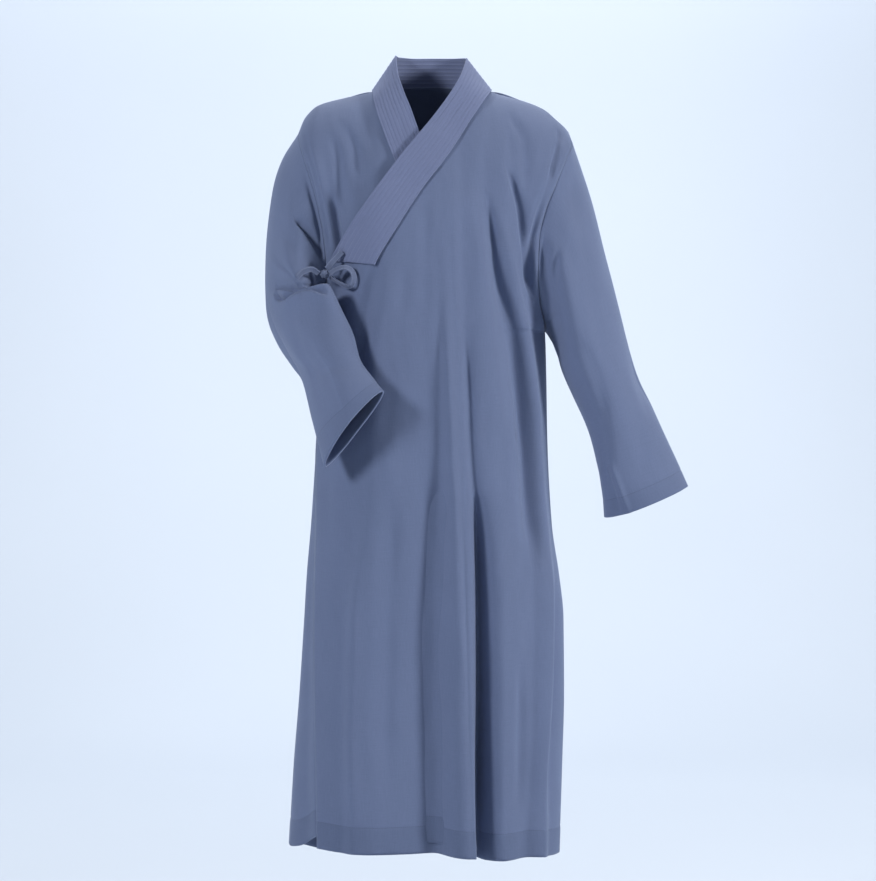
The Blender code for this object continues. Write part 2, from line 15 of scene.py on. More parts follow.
import bmesh
import bpy
import numpy as np
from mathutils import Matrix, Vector

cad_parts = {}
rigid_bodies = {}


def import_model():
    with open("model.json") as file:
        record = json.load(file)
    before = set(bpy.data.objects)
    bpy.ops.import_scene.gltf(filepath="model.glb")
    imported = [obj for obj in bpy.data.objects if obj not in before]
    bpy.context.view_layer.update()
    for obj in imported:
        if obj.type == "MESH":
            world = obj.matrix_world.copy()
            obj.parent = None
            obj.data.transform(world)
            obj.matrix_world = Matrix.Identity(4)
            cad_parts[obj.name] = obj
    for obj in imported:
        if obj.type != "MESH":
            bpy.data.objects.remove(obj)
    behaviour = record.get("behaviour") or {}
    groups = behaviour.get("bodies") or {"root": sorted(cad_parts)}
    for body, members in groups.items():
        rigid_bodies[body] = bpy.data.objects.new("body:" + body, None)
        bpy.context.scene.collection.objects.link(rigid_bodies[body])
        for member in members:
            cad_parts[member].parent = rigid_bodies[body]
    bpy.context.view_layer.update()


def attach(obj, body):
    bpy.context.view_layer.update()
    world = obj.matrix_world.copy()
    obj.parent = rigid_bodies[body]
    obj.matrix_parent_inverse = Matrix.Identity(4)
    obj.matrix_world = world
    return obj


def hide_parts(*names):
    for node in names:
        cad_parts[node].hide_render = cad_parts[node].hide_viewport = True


LOG = logging.getLogger("robe")
Array = np.ndarray
Pair = tuple[float, float]
Triple = tuple[float, float, float]
Row = tuple[float, ...]

MM = 0.001
UV_NAME = "cut"
TIE_WIDTH = 0.0105


class Face(Enum):
    """Which face of the torso a panel covers, with the sign of its depth."""

    FRONT = -1
    BACK = 1


class Cloth(Enum):
    """The record's material slots."""

    PANEL = "panel_cloth"
    BAND = "band_cloth"
    TIE = "tie_cloth"


def smooth_step(t: Array) -> Array:
    """Eases from 0 to 1 as t goes from 0 to 1."""
    t = np.clip(t, 0.0, 1.0)
    return t * t * (3 - 2 * t)


@dataclass(frozen=True)
class Curve:
    """Smooth function through (place, value) points, which never overshoots and holds its end values."""

    points: tuple[Pair, ...]

    def __call__(self, place: Array | float) -> Array:
        """Value at one or many places.

        Args:
            place: Where the value is wanted.

        Returns:
            The value at each place.
        """
        places, values = (np.array(part, float) for part in zip(*sorted(self.points)))
        spans = np.diff(places)
        slopes = np.diff(values) / spans
        product, total = slopes[:-1] * slopes[1:], slopes[:-1] + slopes[1:]
        inside = np.where(product > 0, 2 * product / np.where(product > 0, total, 1.0), 0.0)
        tangents = np.concatenate(([slopes[0]], inside, [slopes[-1]]))
        at = np.clip(place, places[0], places[-1])
        i = np.clip(np.searchsorted(places, at, side="right") - 1, 0, len(spans) - 1)
        t, span = (at - places[i]) / spans[i], spans[i]
        rise = 3 * t**2 - 2 * t**3
        return (
            values[i] * (1 - rise)
            + values[i + 1] * rise
            + tangents[i] * span * (t**3 - 2 * t**2 + t)
            + tangents[i + 1] * span * (t**3 - t**2)
        )


def spline(rows: Array, places: Array) -> Array:
    """Smooth curve through rows of points, one unit of place a row.

    Args:
        rows: Points or rows of points, first axis along the curve.
        places: Where along the rows the curve is wanted.

    Returns:
        The points at each place.
    """
    before, after = 2 * rows[:1] - rows[1:2], 2 * rows[-1:] - rows[-2:-1]
    padded = np.concatenate((before, rows, after))
    i = np.clip(places.astype(int), 0, len(rows) - 2)
    f = (places - i).reshape((-1,) + (1,) * (rows.ndim - 1))
    a, b, c, d = (padded[i + k] for k in range(4))
    return (2 * b + (c - a) * f + (2 * a - 5 * b + 4 * c - d) * f**2 + (3 * b - a - 3 * c + d) * f**3) / 2


@dataclass(frozen=True)
class Section:
    """The plain torso at one height: its sides and its depths."""

    height: float
    right: float
    left: float
    front: float
    back: float


@dataclass(frozen=True)
class FoldLine:
    """A hanging fold's line, its x and its rise at each of the levels. A side line has no x of its own."""

    name: str
    columns: int
    x: tuple[float, ...] | None
    rise: tuple[float, ...]


@dataclass(frozen=True)
class Crease:
    """A soft trough (rise below 0) or ridge along a line on the cloth, drawn from its top down."""

    line: tuple[Pair, ...]
    right_reach: float
    left_reach: float
    rise: float
    ends: float = 45.0

    def push(self, x: Array, z: Array) -> Array:
        """How far the crease moves the cloth out at each point.

        Args:
            x: Across the panel.
            z: Height.

        Returns:
            The move along the surface's outward direction.
        """
        drawn = np.array(self.line, float)
        steps = np.linspace(0, len(drawn) - 1, 4 * (len(drawn) - 1) + 1)
        path = spline(drawn, steps)
        best = np.full(x.shape, 1e9)
        side = np.zeros(x.shape)
        along = np.zeros(x.shape)
        start = 0.0
        for (ax, az), (bx, bz) in pairwise(path):
            dx, dz = bx - ax, bz - az
            length = math.hypot(dx, dz)
            t = np.clip(((x - ax) * dx + (z - az) * dz) / length**2, 0, 1)
            ox, oz = x - ax - t * dx, z - az - t * dz
            gap = np.hypot(ox, oz)
            nearer = gap < best
            best = np.where(nearer, gap, best)
            side = np.where(nearer, dx * oz - dz * ox, side)
            along = np.where(nearer, start + t * length, along)
            start += length
        reach = np.where(side > 0, self.left_reach, self.right_reach)
        fade = smooth_step((along + 0.3 * self.ends) / self.ends) * smooth_step(
            (start - along + 0.3 * self.ends) / self.ends
        )
        return self.rise * fade * np.exp(-((best / reach) ** 2))


LEVELS = (-100, -300, -450, -600, -850, -1240)

BODY = tuple(Section(*row) for row in (
    (60, -217, 227, 84, 94), (-60, -217, 227, 94, 102), (-85, -213, 227, 99, 107),
    (-120, -203, 213, 107, 113), (-160, -190, 197, 116, 118), (-200, -180, 181, 124, 122),
    (-245, -172, 171, 128, 125), (-300, -168, 169, 131, 127), (-345, -168, 173, 132, 128),
    (-388, -171, 183, 133, 129), (-450, -177, 185, 134, 129), (-567, -187, 187, 135, 130),
    (-700, -196, 194, 137, 131), (-782, -203, 206, 139, 133), (-850, -207, 213, 140, 134),
    (-973, -215, 214, 142, 137), (-1086, -224, 211, 145, 140), (-1240, -233, 206, 149, 143),
))

SHOULDER_RIDGE = (
    (-217, -70), (-205, -42), (-183, -22), (-140, -10), (-96, 0), (-80, 13), (-50, 30), (0, 38),
    (50, 30), (80, 13), (96, 0), (150, -16), (181, -29), (200, -45), (221, -66), (227, -82),
)

FRONT_LINES = tuple(FoldLine(*row) for row in (
    ("right side", 2, None, (0, 0, 0, 0, 0, 0)),
    ("side hollow", 2, (-195, -164, -172, -184, -198, -205), (0, 0, 0, 0, -3, -6)),
    ("armhole hollow", 3, (-168, -150, -150, -160, -181, -176), (-2, -7, 0, 0, 2, 3)),
    ("chest hollow", 2, (-120, -112, -112, -112, -135, -140), (-5, -1, 0, 0, 0, 2)),
    ("wide ridge", 4, (-90, -85, -88, -86, -110, -118), (2, 0, 1, 2, 7, 9)),
    ("middle hollow", 3, (-20, 5, 10, 9, -2, 3), (0, -1, -5, -9, -11, -13)),
    ("pleat ridge", 2, (20, 22, 26, 33, 44, 54), (0, 1, 3, 4, 11, 16)),
    ("pleat edge", 2, (30, 34, 42, 48, 54, 65), (0, 0, -1, -2, 4, 12)),
    ("pleat bottom", 3, (47, 48, 58, 66, 78, 76), (-1, -5, -8, -10, -21, -30)),
    ("left ridge", 3, (66, 78, 96, 112, 114, 112), (0, 1, 2, 3, 5, 7)),
    ("long hollow", 2, (84, 103, 137, 158, 163, 150), (-1, -8, -13, -12, -4, -4)),
    ("side ridge", 2, (112, 130, 161, 174, 187, 172), (0, 0, 1, 2, 6, 7)),
    ("armpit hollow", 3, (128, 154, 174, 182, 201, 190), (-5, -6, -3, 0, -3, -5)),
    ("left side", 0, None, (0, 0, 0, 0, 0, 0)),
))

BACK_LINES = tuple(FoldLine(*row) for row in (
    ("right side", 3, None, (0, 0, 0, 0, 0, 0)),
    ("right hollow", 3, (-170, -140, -150, -160, -185, -195), (-3, -6, -5, -3, -8, -10)),
    ("right ridge", 3, (-110, -100, -105, -115, -130, -140), (0, 2, 3, 4, 8, 10)),
    ("right pleat", 3, (-60, -55, -60, -66, -75, -80), (-2, -4, -6, -8, -14, -18)),
    ("middle ridge", 3, (0, 0, -5, -8, -10, -12), (0, 1, 2, 4, 8, 10)),
    ("left pleat", 3, (60, 58, 62, 60, 58, 55), (-2, -3, -5, -9, -12, -15)),
    ("left ridge", 3, (105, 100, 110, 115, 118, 120), (0, 1, 3, 5, 9, 12)),
    ("left hollow", 3, (165, 140, 155, 163, 172, 170), (-3, -5, -4, -3, -7, -9)),
    ("left side", 0, None, (0, 0, 0, 0, 0, 0)),
))

FREE_EDGE = (-157, -157, -168, -180, -181, -174)
OUTER_TOP = (
    (-157, -286), (-140, -272), (-110, -262), (-81, -250), (-55, -211), (-6, -139), (27, -106), (50, -69),
    (76, -32), (91, -9),
)
INNER_TOP = (
    (-96, 0), (-93, -14), (-87, -38), (-73, -74), (-53, -112), (-24, -180), (0, -238), (35, -316),
)
BACK_NECK = (
    (-96, 0), (-80, 4.5), (-50, 12), (0, 14.5), (50, 12), (80, 4.5), (96, 0),
)
OUTER_HEM = (
    (-175, -1207), (-120, -1211), (0, -1210), (30, -1213), (65, -1216), (90, -1223),
    (150, -1222), (198, -1228),
)
INNER_HEM = (
    (-226, -1216), (-216, -1212), (-178, -1190), (-120, -1192), (35, -1196),
)
BACK_HEM = (
    (-226, -1216), (-212, -1229), (-180, -1240), (-100, -1240), (0, -1236), (120, -1231), (198, -1228),
)

INNER_CREASES = {
    "armhole trough": Crease(((-214, -78), (-208, -101), (-189, -156), (-177, -210), (-168, -262)), 4, 9, -6),
    "armhole ridge": Crease(((-190, -105), (-180, -135), (-168, -196), (-158, -255)), 7, 7, 2.6),
    "band end trough": Crease(((-162, -180), (-156, -225), (-152, -270)), 3, 7, -8, 30),
    "shoulder trough": Crease(((-141, -62), (-122, -102), (-117, -150)), 9, 7, -3.4),
    "chest trough": Crease(((-160, -80), (-150, -119), (-144, -200)), 7, 9, -4),
    "neck trough": Crease(((-108, -40), (-98, -80), (-92, -120)), 8, 8, -1.5),
}
OUTER_CREASES = {
    "shoulder trough": Crease(((207, -60), (204, -97), (189, -150)), 6, 2.6, -5.5, 30),
    "armhole trough": Crease(((219, -96), (194, -164), (176, -206), (165, -247), (162, -293), (163, -333)),
                             9, 3, -7.5),
    "chest ridge": Crease(((190, -110), (172, -170), (156, -230), (150, -300)), 9, 8, 2.2),
    "collar trough": Crease(((126, -50), (142, -80), (149, -112), (149, -170)), 5, 9, -3.6, 40),
    "chest trough": Crease(((118, -130), (134, -176), (142, -204), (150, -264), (156, -318)), 4, 9, -6.5, 60),
    "long trough": Crease(((88, -183), (94, -215), (106, -296), (122, -345), (137, -391), (148, -474),
                           (159, -578), (164, -657), (172, -753)), 14, 6, -7, 90),
    "long ridge": Crease(((108, -200), (128, -300), (150, -390), (161, -470), (172, -560)), 7, 7, 2.2, 80),
    "middle trough": Crease(((54, -391), (57, -480), (60, -560), (66, -627), (73, -680), (78, -752)),
                            8, 9, -4.2, 120),
    "wide trough": Crease(((13, -620), (5, -783), (-2, -900), (3, -1020), (5, -1130), (4, -1238)),
                          22, 18, -8, 90),
    "wide ridge": Crease(((25, -387), (30, -560), (36, -739), (50, -950)), 10, 9, 1.5, 120),
    "front ridge": Crease(((-112, -760), (-122, -900), (-124, -1002), (-120, -1156)), 13, 12, 3.6, 120),
    "side ridge": Crease(((184, -760), (186, -877), (177, -1012), (173, -1146)), 10, 10, 2.4, 110),
    "side trough": Crease(((197, -800), (197, -930), (188, -1060), (184, -1150)), 7, 8, -4.5, 110),
    "middle line": Crease(((-8, -187), (-12, -281), (-11, -363)), 9, 9, -1.6, 60),
    "short line": Crease(((-44, -300), (-46, -335), (-47, -368)), 9, 9, -1.2, 40),
    "band corner trough": Crease(((-82, -274), (-90, -310), (-105, -391), (-120, -501), (-128, -600)),
                                 10, 12, -4.2, 90),
    "band corner ridge": Crease(((-64, -270), (-70, -330), (-84, -410), (-96, -500)), 12, 14, 1.3, 90),
    "edge trough": Crease(((-150, -300), (-150, -420), (-158, -560), (-160, -700)), 10, 10, -1.6, 110),
    "hip trough": Crease(((-60, -640), (-66, -800), (-70, -960), (-72, -1120)), 16, 14, -3.6, 140),
    "left trough": Crease(((138, -900), (140, -1010), (136, -1150)), 9, 9, -3, 110),
    "pleat fold": Crease(((72, -660), (77, -740), (79, -860), (80, -960), (79, -1060), (76, -1190)),
                         8, 10, -14, 150),
}
BACK_CREASES = {
    "right armhole trough": Crease(((-208, -95), (-186, -160), (-170, -230), (-160, -310)), 7, 10, -4),
    "left armhole trough": Crease(((212, -100), (190, -165), (172, -235), (160, -320)), 10, 7, -4),
    "right shoulder trough": Crease(((-140, -40), (-118, -110), (-108, -200), (-112, -320)),
                                    12, 12, -2.4, 80),
    "left shoulder trough": Crease(((142, -48), (120, -118), (106, -210), (110, -330)), 12, 12, -2.8, 80),
    "middle trough": Crease(((6, -60), (2, -160), (8, -300), (4, -440)), 14, 12, -1.8, 110),
    "waist ridge": Crease(((-40, -360), (-34, -480), (-42, -620), (-46, -800)), 12, 13, 1.8, 130),
    "left waist trough": Crease(((90, -380), (86, -520), (92, -690), (88, -900)), 12, 10, -2.4, 130),
    "right skirt trough": Crease(((-160, -640), (-164, -800), (-166, -980), (-170, -1150)),
                                 11, 11, -2.6, 140),
    "middle skirt trough": Crease(((-30, -820), (-34, -960), (-38, -1160)), 9, 11, -2.6, 120),
    "left skirt ridge": Crease(((150, -700), (148, -860), (152, -1010), (146, -1150)), 11, 11, 2.2, 130),
}
LEFT_SLEEVE_CREASES = {
    "armpit trough": Crease(((176, -252), (176, -290), (182, -325), (192, -372)), 6, 12, -10, 50),
    "upper trough": Crease(((200, -262), (196, -290), (197, -318)), 5, 6, -5, 30),
    "shoulder shade": Crease(((246, -160), (252, -215), (262, -260)), 10, 8, -2.4, 60),
    "elbow trough": Crease(((231, -402), (250, -438), (266, -480), (277, -540)), 16, 12, -4.5, 60),
    "outer trough": Crease(((322, -430), (338, -490), (352, -540)), 10, 10, -2.6, 60),
    "cuff corner": Crease(((285, -600), (300, -640), (318, -690)), 3.5, 4, 3.4, 20),
    "cuff side": Crease(((274, -606), (288, -650), (300, -690)), 7, 6, -5, 20),
}
RIGHT_SLEEVE_CREASES = {
    "seam trough": Crease(((-200, -140), (-186, -190), (-176, -235), (-170, -272)), 5, 9, -7, 50),
    "long crease": Crease(((-217, -210), (-205, -226), (-192, -244), (-172, -274)), 2.8, 8, -12, 14),
    "upper trough": Crease(((-240, -200), (-232, -235), (-220, -262)), 11, 12, -4.5, 50),
    "elbow zigzag": Crease(((-256, -330), (-237, -340), (-225, -332), (-211, -325), (-196, -325),
                            (-180, -328), (-162, -334)), 3.6, 6, -12.5, 12),
    "elbow upper line": Crease(((-262, -318), (-246, -318), (-230, -321), (-212, -320)), 3, 4.5, -7, 12),
    "bow crease": Crease(((-216, -311), (-203, -306), (-190, -308)), 3, 4, -5, 10),
    "elbow lower ridge": Crease(((-240, -352), (-216, -338), (-196, -330), (-176, -334)), 6, 6, 3, 20),
    "forearm shade": Crease(((-196, -458), (-160, -452), (-122, -452)), 12, 14, -3.4, 40),
    "forearm side": Crease(((-196, -380), (-190, -415), (-184, -450)), 12, 12, -2, 40),
}


@dataclass(frozen=True)
class Torso:
    """The hollow body of the robe: plain sections, the shoulder ridge and the hanging folds of both faces."""

    shoulder_roll: float = 150.0
    armhole_depth: float = 74.0
    armhole_middle: float = -255.0
    underarm: float = -388.0
    side_roundness: float = 2.4
    folds_start: float = -55.0
    folds_full: float = -125.0
    armhole_edge: int = 8
    top_roundness: float = 0.5
    armhole_roundness: float = 0.3
    inner_edge: float = 35.0
    overlap_height: float = 7.5
    border_x: float = -20.0
    border_height: float = -75.0
    border_lean: float = 0.42
    border_reach: float = 25.0
    border_shift: float = 8.0
    border_fade: float = 60.0

    def side(self, name: str) -> Curve:
        """One column of the body's sections as a function of height."""
        return Curve(tuple((row.height, getattr(row, name)) for row in BODY))

    def ridge(self) -> Curve:
        """Height of the shoulder ridge as a function of x."""
        return Curve(SHOULDER_RIDGE)

    def lines(self, face: Face) -> list[tuple[Curve, Curve]]:
        """Fold lines of a face as functions of height.

        Args:
            face: The front or the back.

        Returns:
            For each line its x and its rise.
        """
        rows = FRONT_LINES if face is Face.FRONT else BACK_LINES
        result = []
        for row in rows:
            if row.x is None:
                place = self.side("right" if row.name == "right side" else "left")
            else:
                place = Curve(tuple(zip(LEVELS, row.x)))
            result.append((place, Curve(tuple(zip(LEVELS, row.rise)))))
        return result

    def depth(self, face: Face, x: Array, z: Array) -> Array:
        """Distance of the plain torso from the side plane.

        Args:
            face: The front or the back.
            x: Across.
            z: Height.

        Returns:
            The depth at each point.
        """
        half = np.where(x > 0, self.side("left")(z), -self.side("right")(z))
        across = np.minimum(np.abs(x) / half, 1.0)
        drop = np.clip((self.armhole_middle - z) / (self.armhole_middle - self.underarm), 0.0, 1.0)
        hold = np.sqrt(1 - drop**2)
        eased = 1 - smooth_step(drop)
        rim = self.armhole_depth * (eased + (hold - eased) * across**self.armhole_edge)
        middle = self.side("front" if face is Face.FRONT else "back")(z)
        power = self.top_roundness + self.armhole_roundness * eased
        full = rim + (middle - rim) * (1 - across**self.side_roundness) ** power
        roll = np.clip((self.ridge()(x) - z) / self.shoulder_roll, 0.0, 1.0)
        return full * np.sqrt(1 - (1 - roll) ** 2)

    def folds(self, face: Face, x: Array, z: Array) -> Array:
        """Height of the hanging folds, from the two fold lines on either side of each point.

        Args:
            face: The front or the back.
            x: Across.
            z: Height.

        Returns:
            The height of the folds at each point.
        """
        fade = smooth_step((self.folds_start - z) / (self.folds_start - self.folds_full))
        lines = self.lines(face)
        places = np.stack([place(z) for place, _ in lines])
        rises = np.stack([rise(z) for _, rise in lines])
        i = np.clip((places <= x).sum(axis=0) - 1, 0, len(lines) - 2)[None]
        left, right = np.take_along_axis(places, i, 0)[0], np.take_along_axis(places, i + 1, 0)[0]
        low, high = np.take_along_axis(rises, i, 0)[0], np.take_along_axis(rises, i + 1, 0)[0]
        t = smooth_step((x - left) / (right - left))
        return fade * ((1 - t) * low + t * high)

    def point(self, face: Face, x: Array, z: Array, lift: Array | float = 0.0) -> Array:
        """Points of the torso's surface.

        Args:
            face: The front or the back.
            x: Across.
            z: Height.
            lift: Distance out from the folded surface.

        Returns:
            The points, one along the last axis.
        """
        here = self.depth(face, x, z)
        inward = np.where(x > 0, -0.5, 0.5)
        slope = (self.depth(face, x + inward, z) - here) / inward
        out = np.stack((-slope, np.full(x.shape, float(face.value)), np.zeros(x.shape)), axis=-1)
        out /= np.linalg.norm(out, axis=-1, keepdims=True)
        rise = self.folds(face, x, z) + lift
        return np.stack((x, face.value * here, z), axis=-1) + out * rise[..., None]

    def overlap(self, x: Array, z: Array) -> Array:
        """Lift of the outer front, full where the inner front lies under it.

        Args:
            x: Across.
            z: Height.

        Returns:
            The lift at each point.
        """
        leaning = self.border_x - self.border_lean * (z - self.border_height)
        border = np.minimum(leaning, self.inner_edge + self.border_reach) + self.border_shift
        return self.overlap_height * (1 - smooth_step((x - border) / self.border_fade))


def smooth_object(shape: bmesh.types.BMesh, name: str) -> bpy.types.Object:
    """Makes a smooth-shaded object of a shape, which is then let go.

    Args:
        shape: Its faces.
        name: The object's name and its mesh's.

    Returns:
        The object, in the scene.
    """
    for side in shape.faces:
        side.smooth = True
    mesh = bpy.data.meshes.new(name)
    shape.to_mesh(mesh)
    shape.free()
    made = bpy.data.objects.new(name, mesh)
    bpy.context.scene.collection.objects.link(made)
    return made


@dataclass
class Shell:
    """A grid of cloth points that becomes one piece: a thin wall with its flat cut as its UV map."""

    name: str
    grid: Array
    cut: Array
    outward: int
    thickness: Array
    closed: bool = False

    def face(self) -> bpy.types.Object:
        """Makes the piece's outer face from a grid, with each point moved to its place.

        Returns:
            The face, with its flat cut as its UV map.
        """
        rows, columns = self.grid.shape[:2]
        shape = bmesh.new()
        shape.loops.layers.uv.new(UV_NAME)
        bmesh.ops.create_grid(shape, x_segments=columns - 1, y_segments=rows - 1, size=1.0, calc_uvs=True)
        piece = smooth_object(shape, self.name)
        mesh = piece.data
        mesh.vertices.foreach_set("co", (self.grid * MM).astype(np.float32).ravel())
        corners = np.zeros(len(mesh.loops), np.int32)
        mesh.loops.foreach_get("vertex_index", corners)
        flat = (self.cut.reshape(-1, 2) * MM)[corners]
        mesh.uv_layers[UV_NAME].data.foreach_set("uv", flat.astype(np.float32).ravel())
        return piece

    def build(self, finish: "ClothFinish", wall_out: bool = False) -> bpy.types.Object:
        """Makes the piece with its wall and its finish.

        Args:
            finish: The cloth it is cut from.
            wall_out: Whether the wall's thickness lies outside the grid.

        Returns:
            The piece.
        """
        piece = self.face()
        mesh = piece.data
        wall = piece.vertex_groups.new(name="wall")
        most = float(self.thickness.max())
        for weight in np.unique(self.thickness):
            found = np.nonzero(np.repeat(self.thickness == weight, self.grid.shape[1]))[0]
            wall.add([int(k) for k in found], float(weight) / most, "REPLACE")
        shape = bmesh.new()
        shape.from_mesh(mesh)
        if self.closed:
            bmesh.ops.remove_doubles(shape, verts=shape.verts, dist=0.02 * MM)
        if self.outward < 0:
            bmesh.ops.reverse_faces(shape, faces=shape.faces)
        shape.to_mesh(mesh)
        shape.free()
        solid = piece.modifiers.new("wall", "SOLIDIFY")
        solid.thickness = most * MM
        solid.offset = 1.0 if wall_out else -1.0
        solid.vertex_group = wall.name
        solid.use_even_offset = False
        mesh.materials.append(finish.material())
        return piece


def flat_cut(grid: Array, above: Array, middle: int) -> Array:
    """Flat cut of a grid: distance across each row from its middle column, and distance above the edge.

    Args:
        grid: Points, rows down and columns across.
        above: Distance of each point above the piece's edge.
        middle: The column that lies at zero.

    Returns:
        The two flat sizes of each point.
    """
    steps = np.linalg.norm(np.diff(grid, axis=1), axis=-1)
    across = np.concatenate((np.zeros((len(grid), 1)), np.cumsum(steps, axis=1)), axis=1)
    across -= across[:, middle : middle + 1]
    return np.stack((across, above), axis=-1)


# Waves of the cloth: width, shift, height and share.
WAVES = ((31, 0.4, 210, 0.34), (47, 2.1, 330, 0.4), (71, 4.4, 260, 0.5), (19, 1.3, 140, 0.14))


def ripple(x: Array, z: Array, seed: float) -> Array:
    """Slight unevenness of hanging cloth, longer down than across.

    Args:
        x: Across.
        z: Height.
        seed: Shifts the pattern, so that no two pieces are the same.

    Returns:
        A move of about one millimetre or less.
    """
    total = np.zeros(np.shape(x))
    for wave, turn, tall, share in WAVES:
        bend = 1.6 * np.sin(z * 2 * math.pi / tall + seed)
        total = total + share * np.sin(x * 2 * math.pi / wave + seed * turn + bend)
    return total * 0.62


@dataclass
class Panel:
    """A panel of the body, cut from the shoulder to the hem, with its creases and its turned hem."""

    name: str
    face: Face
    lines: list[Callable[[Array], Array]]
    counts: list[int]
    top: Curve
    hem: Curve
    creases: dict[str, Crease]
    seed: float
    lifted: bool = False
    torso: Torso = field(default_factory=Torso)
    fineness: int = 5
    first_top: float = -200.0
    first_hem: float = -1200.0
    rounds: int = 14
    arm_rows: int = 96
    skirt_rows: int = 160
    hem_depth: float = 42.0
    hem_steps: Row = (3.0, 1.6, 0.8, 0.0, -0.8, -1.6, -3.0, -8.0, -14.0, -20.0, -26.0, -32.0, -37.0, -42.0)
    stitch_sink: float = 0.45
    stitch_reach: float = 1.6
    hem_swell: float = 0.5
    hem_rise: float = 8.0
    side_calm: float = 6.0
    top_calm: float = 24.0
    crease_share: float = 1.5
    cloth: float = 1.5
    turned_cloth: float = 2.8

    def places(self, z: Array) -> Array:
        """The x of every column.

        Args:
            z: Heights, one a column or one row a height.

        Returns:
            The x at each height.
        """
        cells = [n * self.fineness for n in self.counts]
        count = sum(cells)
        steps = [(i, (k + 1) / n) for i, n in enumerate(cells) for k in range(n)]
        gap = np.array([0] + [i for i, _ in steps])
        share = np.array([0.0] + [t for _, t in steps])
        z = np.broadcast_to(z, z.shape[:-1] + (count + 1,))
        lines = np.stack([line(z) for line in self.lines])
        left = np.take_along_axis(lines, np.broadcast_to(gap, z.shape)[None], 0)[0]
        right = np.take_along_axis(lines, np.broadcast_to(gap + 1, z.shape)[None], 0)[0]
        return left + (right - left) * share

    def grid(self) -> tuple[Array, Array]:
        """Points of the panel and their height above the hem.

        Returns:
            The grid, rows from the top edge to the hem, and the distance of each point above the hem.
        """
        count = sum(self.counts) * self.fineness + 1
        z_top = np.full(count, self.first_top)
        for _ in range(self.rounds):
            z_top = self.top(self.places(z_top))
        z_hem = self.hem(self.places(np.full(count, self.first_hem)))
        down = (1 - np.cos(np.pi * np.arange(self.arm_rows) / self.arm_rows)) / 2
        upper = z_top + (self.torso.underarm - z_top) * down[:, None]
        turn = z_hem + self.hem_depth + self.hem_steps[0]
        share = np.arange(self.skirt_rows) / self.skirt_rows
        skirt = self.torso.underarm + (turn - self.torso.underarm) * share[:, None]
        hem = (z_hem + self.hem_depth) + np.array(self.hem_steps)[:, None]
        z = np.concatenate((upper, skirt, hem))
        x = self.places(z)
        above = z - z_hem
        lift = np.zeros(z.shape)
        for crease in self.creases.values():
            lift += self.crease_share * crease.push(x, z)
        side = np.minimum(np.abs(x - x[:, :1]), np.abs(x - x[:, -1:]))
        calm = smooth_step(side / self.side_calm) * smooth_step((z_top - z) / self.top_calm)
        lift *= calm
        lift += ripple(x, z, self.seed) * calm
        lift -= self.stitch_sink * np.exp(-(((above - self.hem_depth) / self.stitch_reach) ** 2))
        lift += self.hem_swell * smooth_step((self.hem_depth - above) / self.hem_rise)
        if self.lifted:
            lift += self.torso.overlap(x, z)
        return self.torso.point(self.face, x, z, lift), above

    def shell(self) -> Shell:
        """The panel as a piece of cloth.

        Returns:
            The panel's grid with its flat cut and its walls.
        """
        grid, above = self.grid()
        rows = len(grid)
        walls = np.where(np.arange(rows) >= rows - len(self.hem_steps) + 3, self.turned_cloth, self.cloth)
        outward = 1 if self.face is Face.BACK else -1
        return Shell(self.name, grid, flat_cut(grid, above, grid.shape[1] // 2), outward, walls)


@dataclass(frozen=True)
class Station:
    """A sleeve's cross-section: its outer, front, under and back points."""

    outer: Triple
    front: Triple
    under: Triple
    back: Triple

    def ring(self, count: int) -> Array:
        """Points round the station.

        Args:
            count: How many points.

        Returns:
            The ring, from the outer side over the front to the under side and the back.
        """
        corners = np.array((self.outer, self.front, self.under, self.back), float)
        middle = corners.mean(axis=0)
        outer, front, under, back = corners - middle
        turn = 2 * np.pi * np.arange(count) / count
        along, across = np.cos(turn)[:, None], np.sin(turn)[:, None]
        long_side = np.where(along > 0, outer, under) * np.abs(along)
        return middle + long_side + np.where(across > 0, front, back) * np.abs(across)


@dataclass(frozen=True)
class SleeveCrease:
    """A trough (depth below 0) or ridge on a sleeve, which may lean round it as it goes down."""

    station: float
    turn: float
    long: float
    wide: float
    depth: float
    lean: float = 0.0

    def push(self, place: Array, turn: Array) -> Array:
        """How far the crease moves the cloth out.

        Args:
            place: Stations down the sleeve.
            turn: Degrees round it.

        Returns:
            The move along the outward direction.
        """
        off = (turn - self.turn - self.lean * (place - self.station) + 180) % 360 - 180
        return self.depth * np.exp(-(((place - self.station) / self.long) ** 2) - (off / self.wide) ** 2)


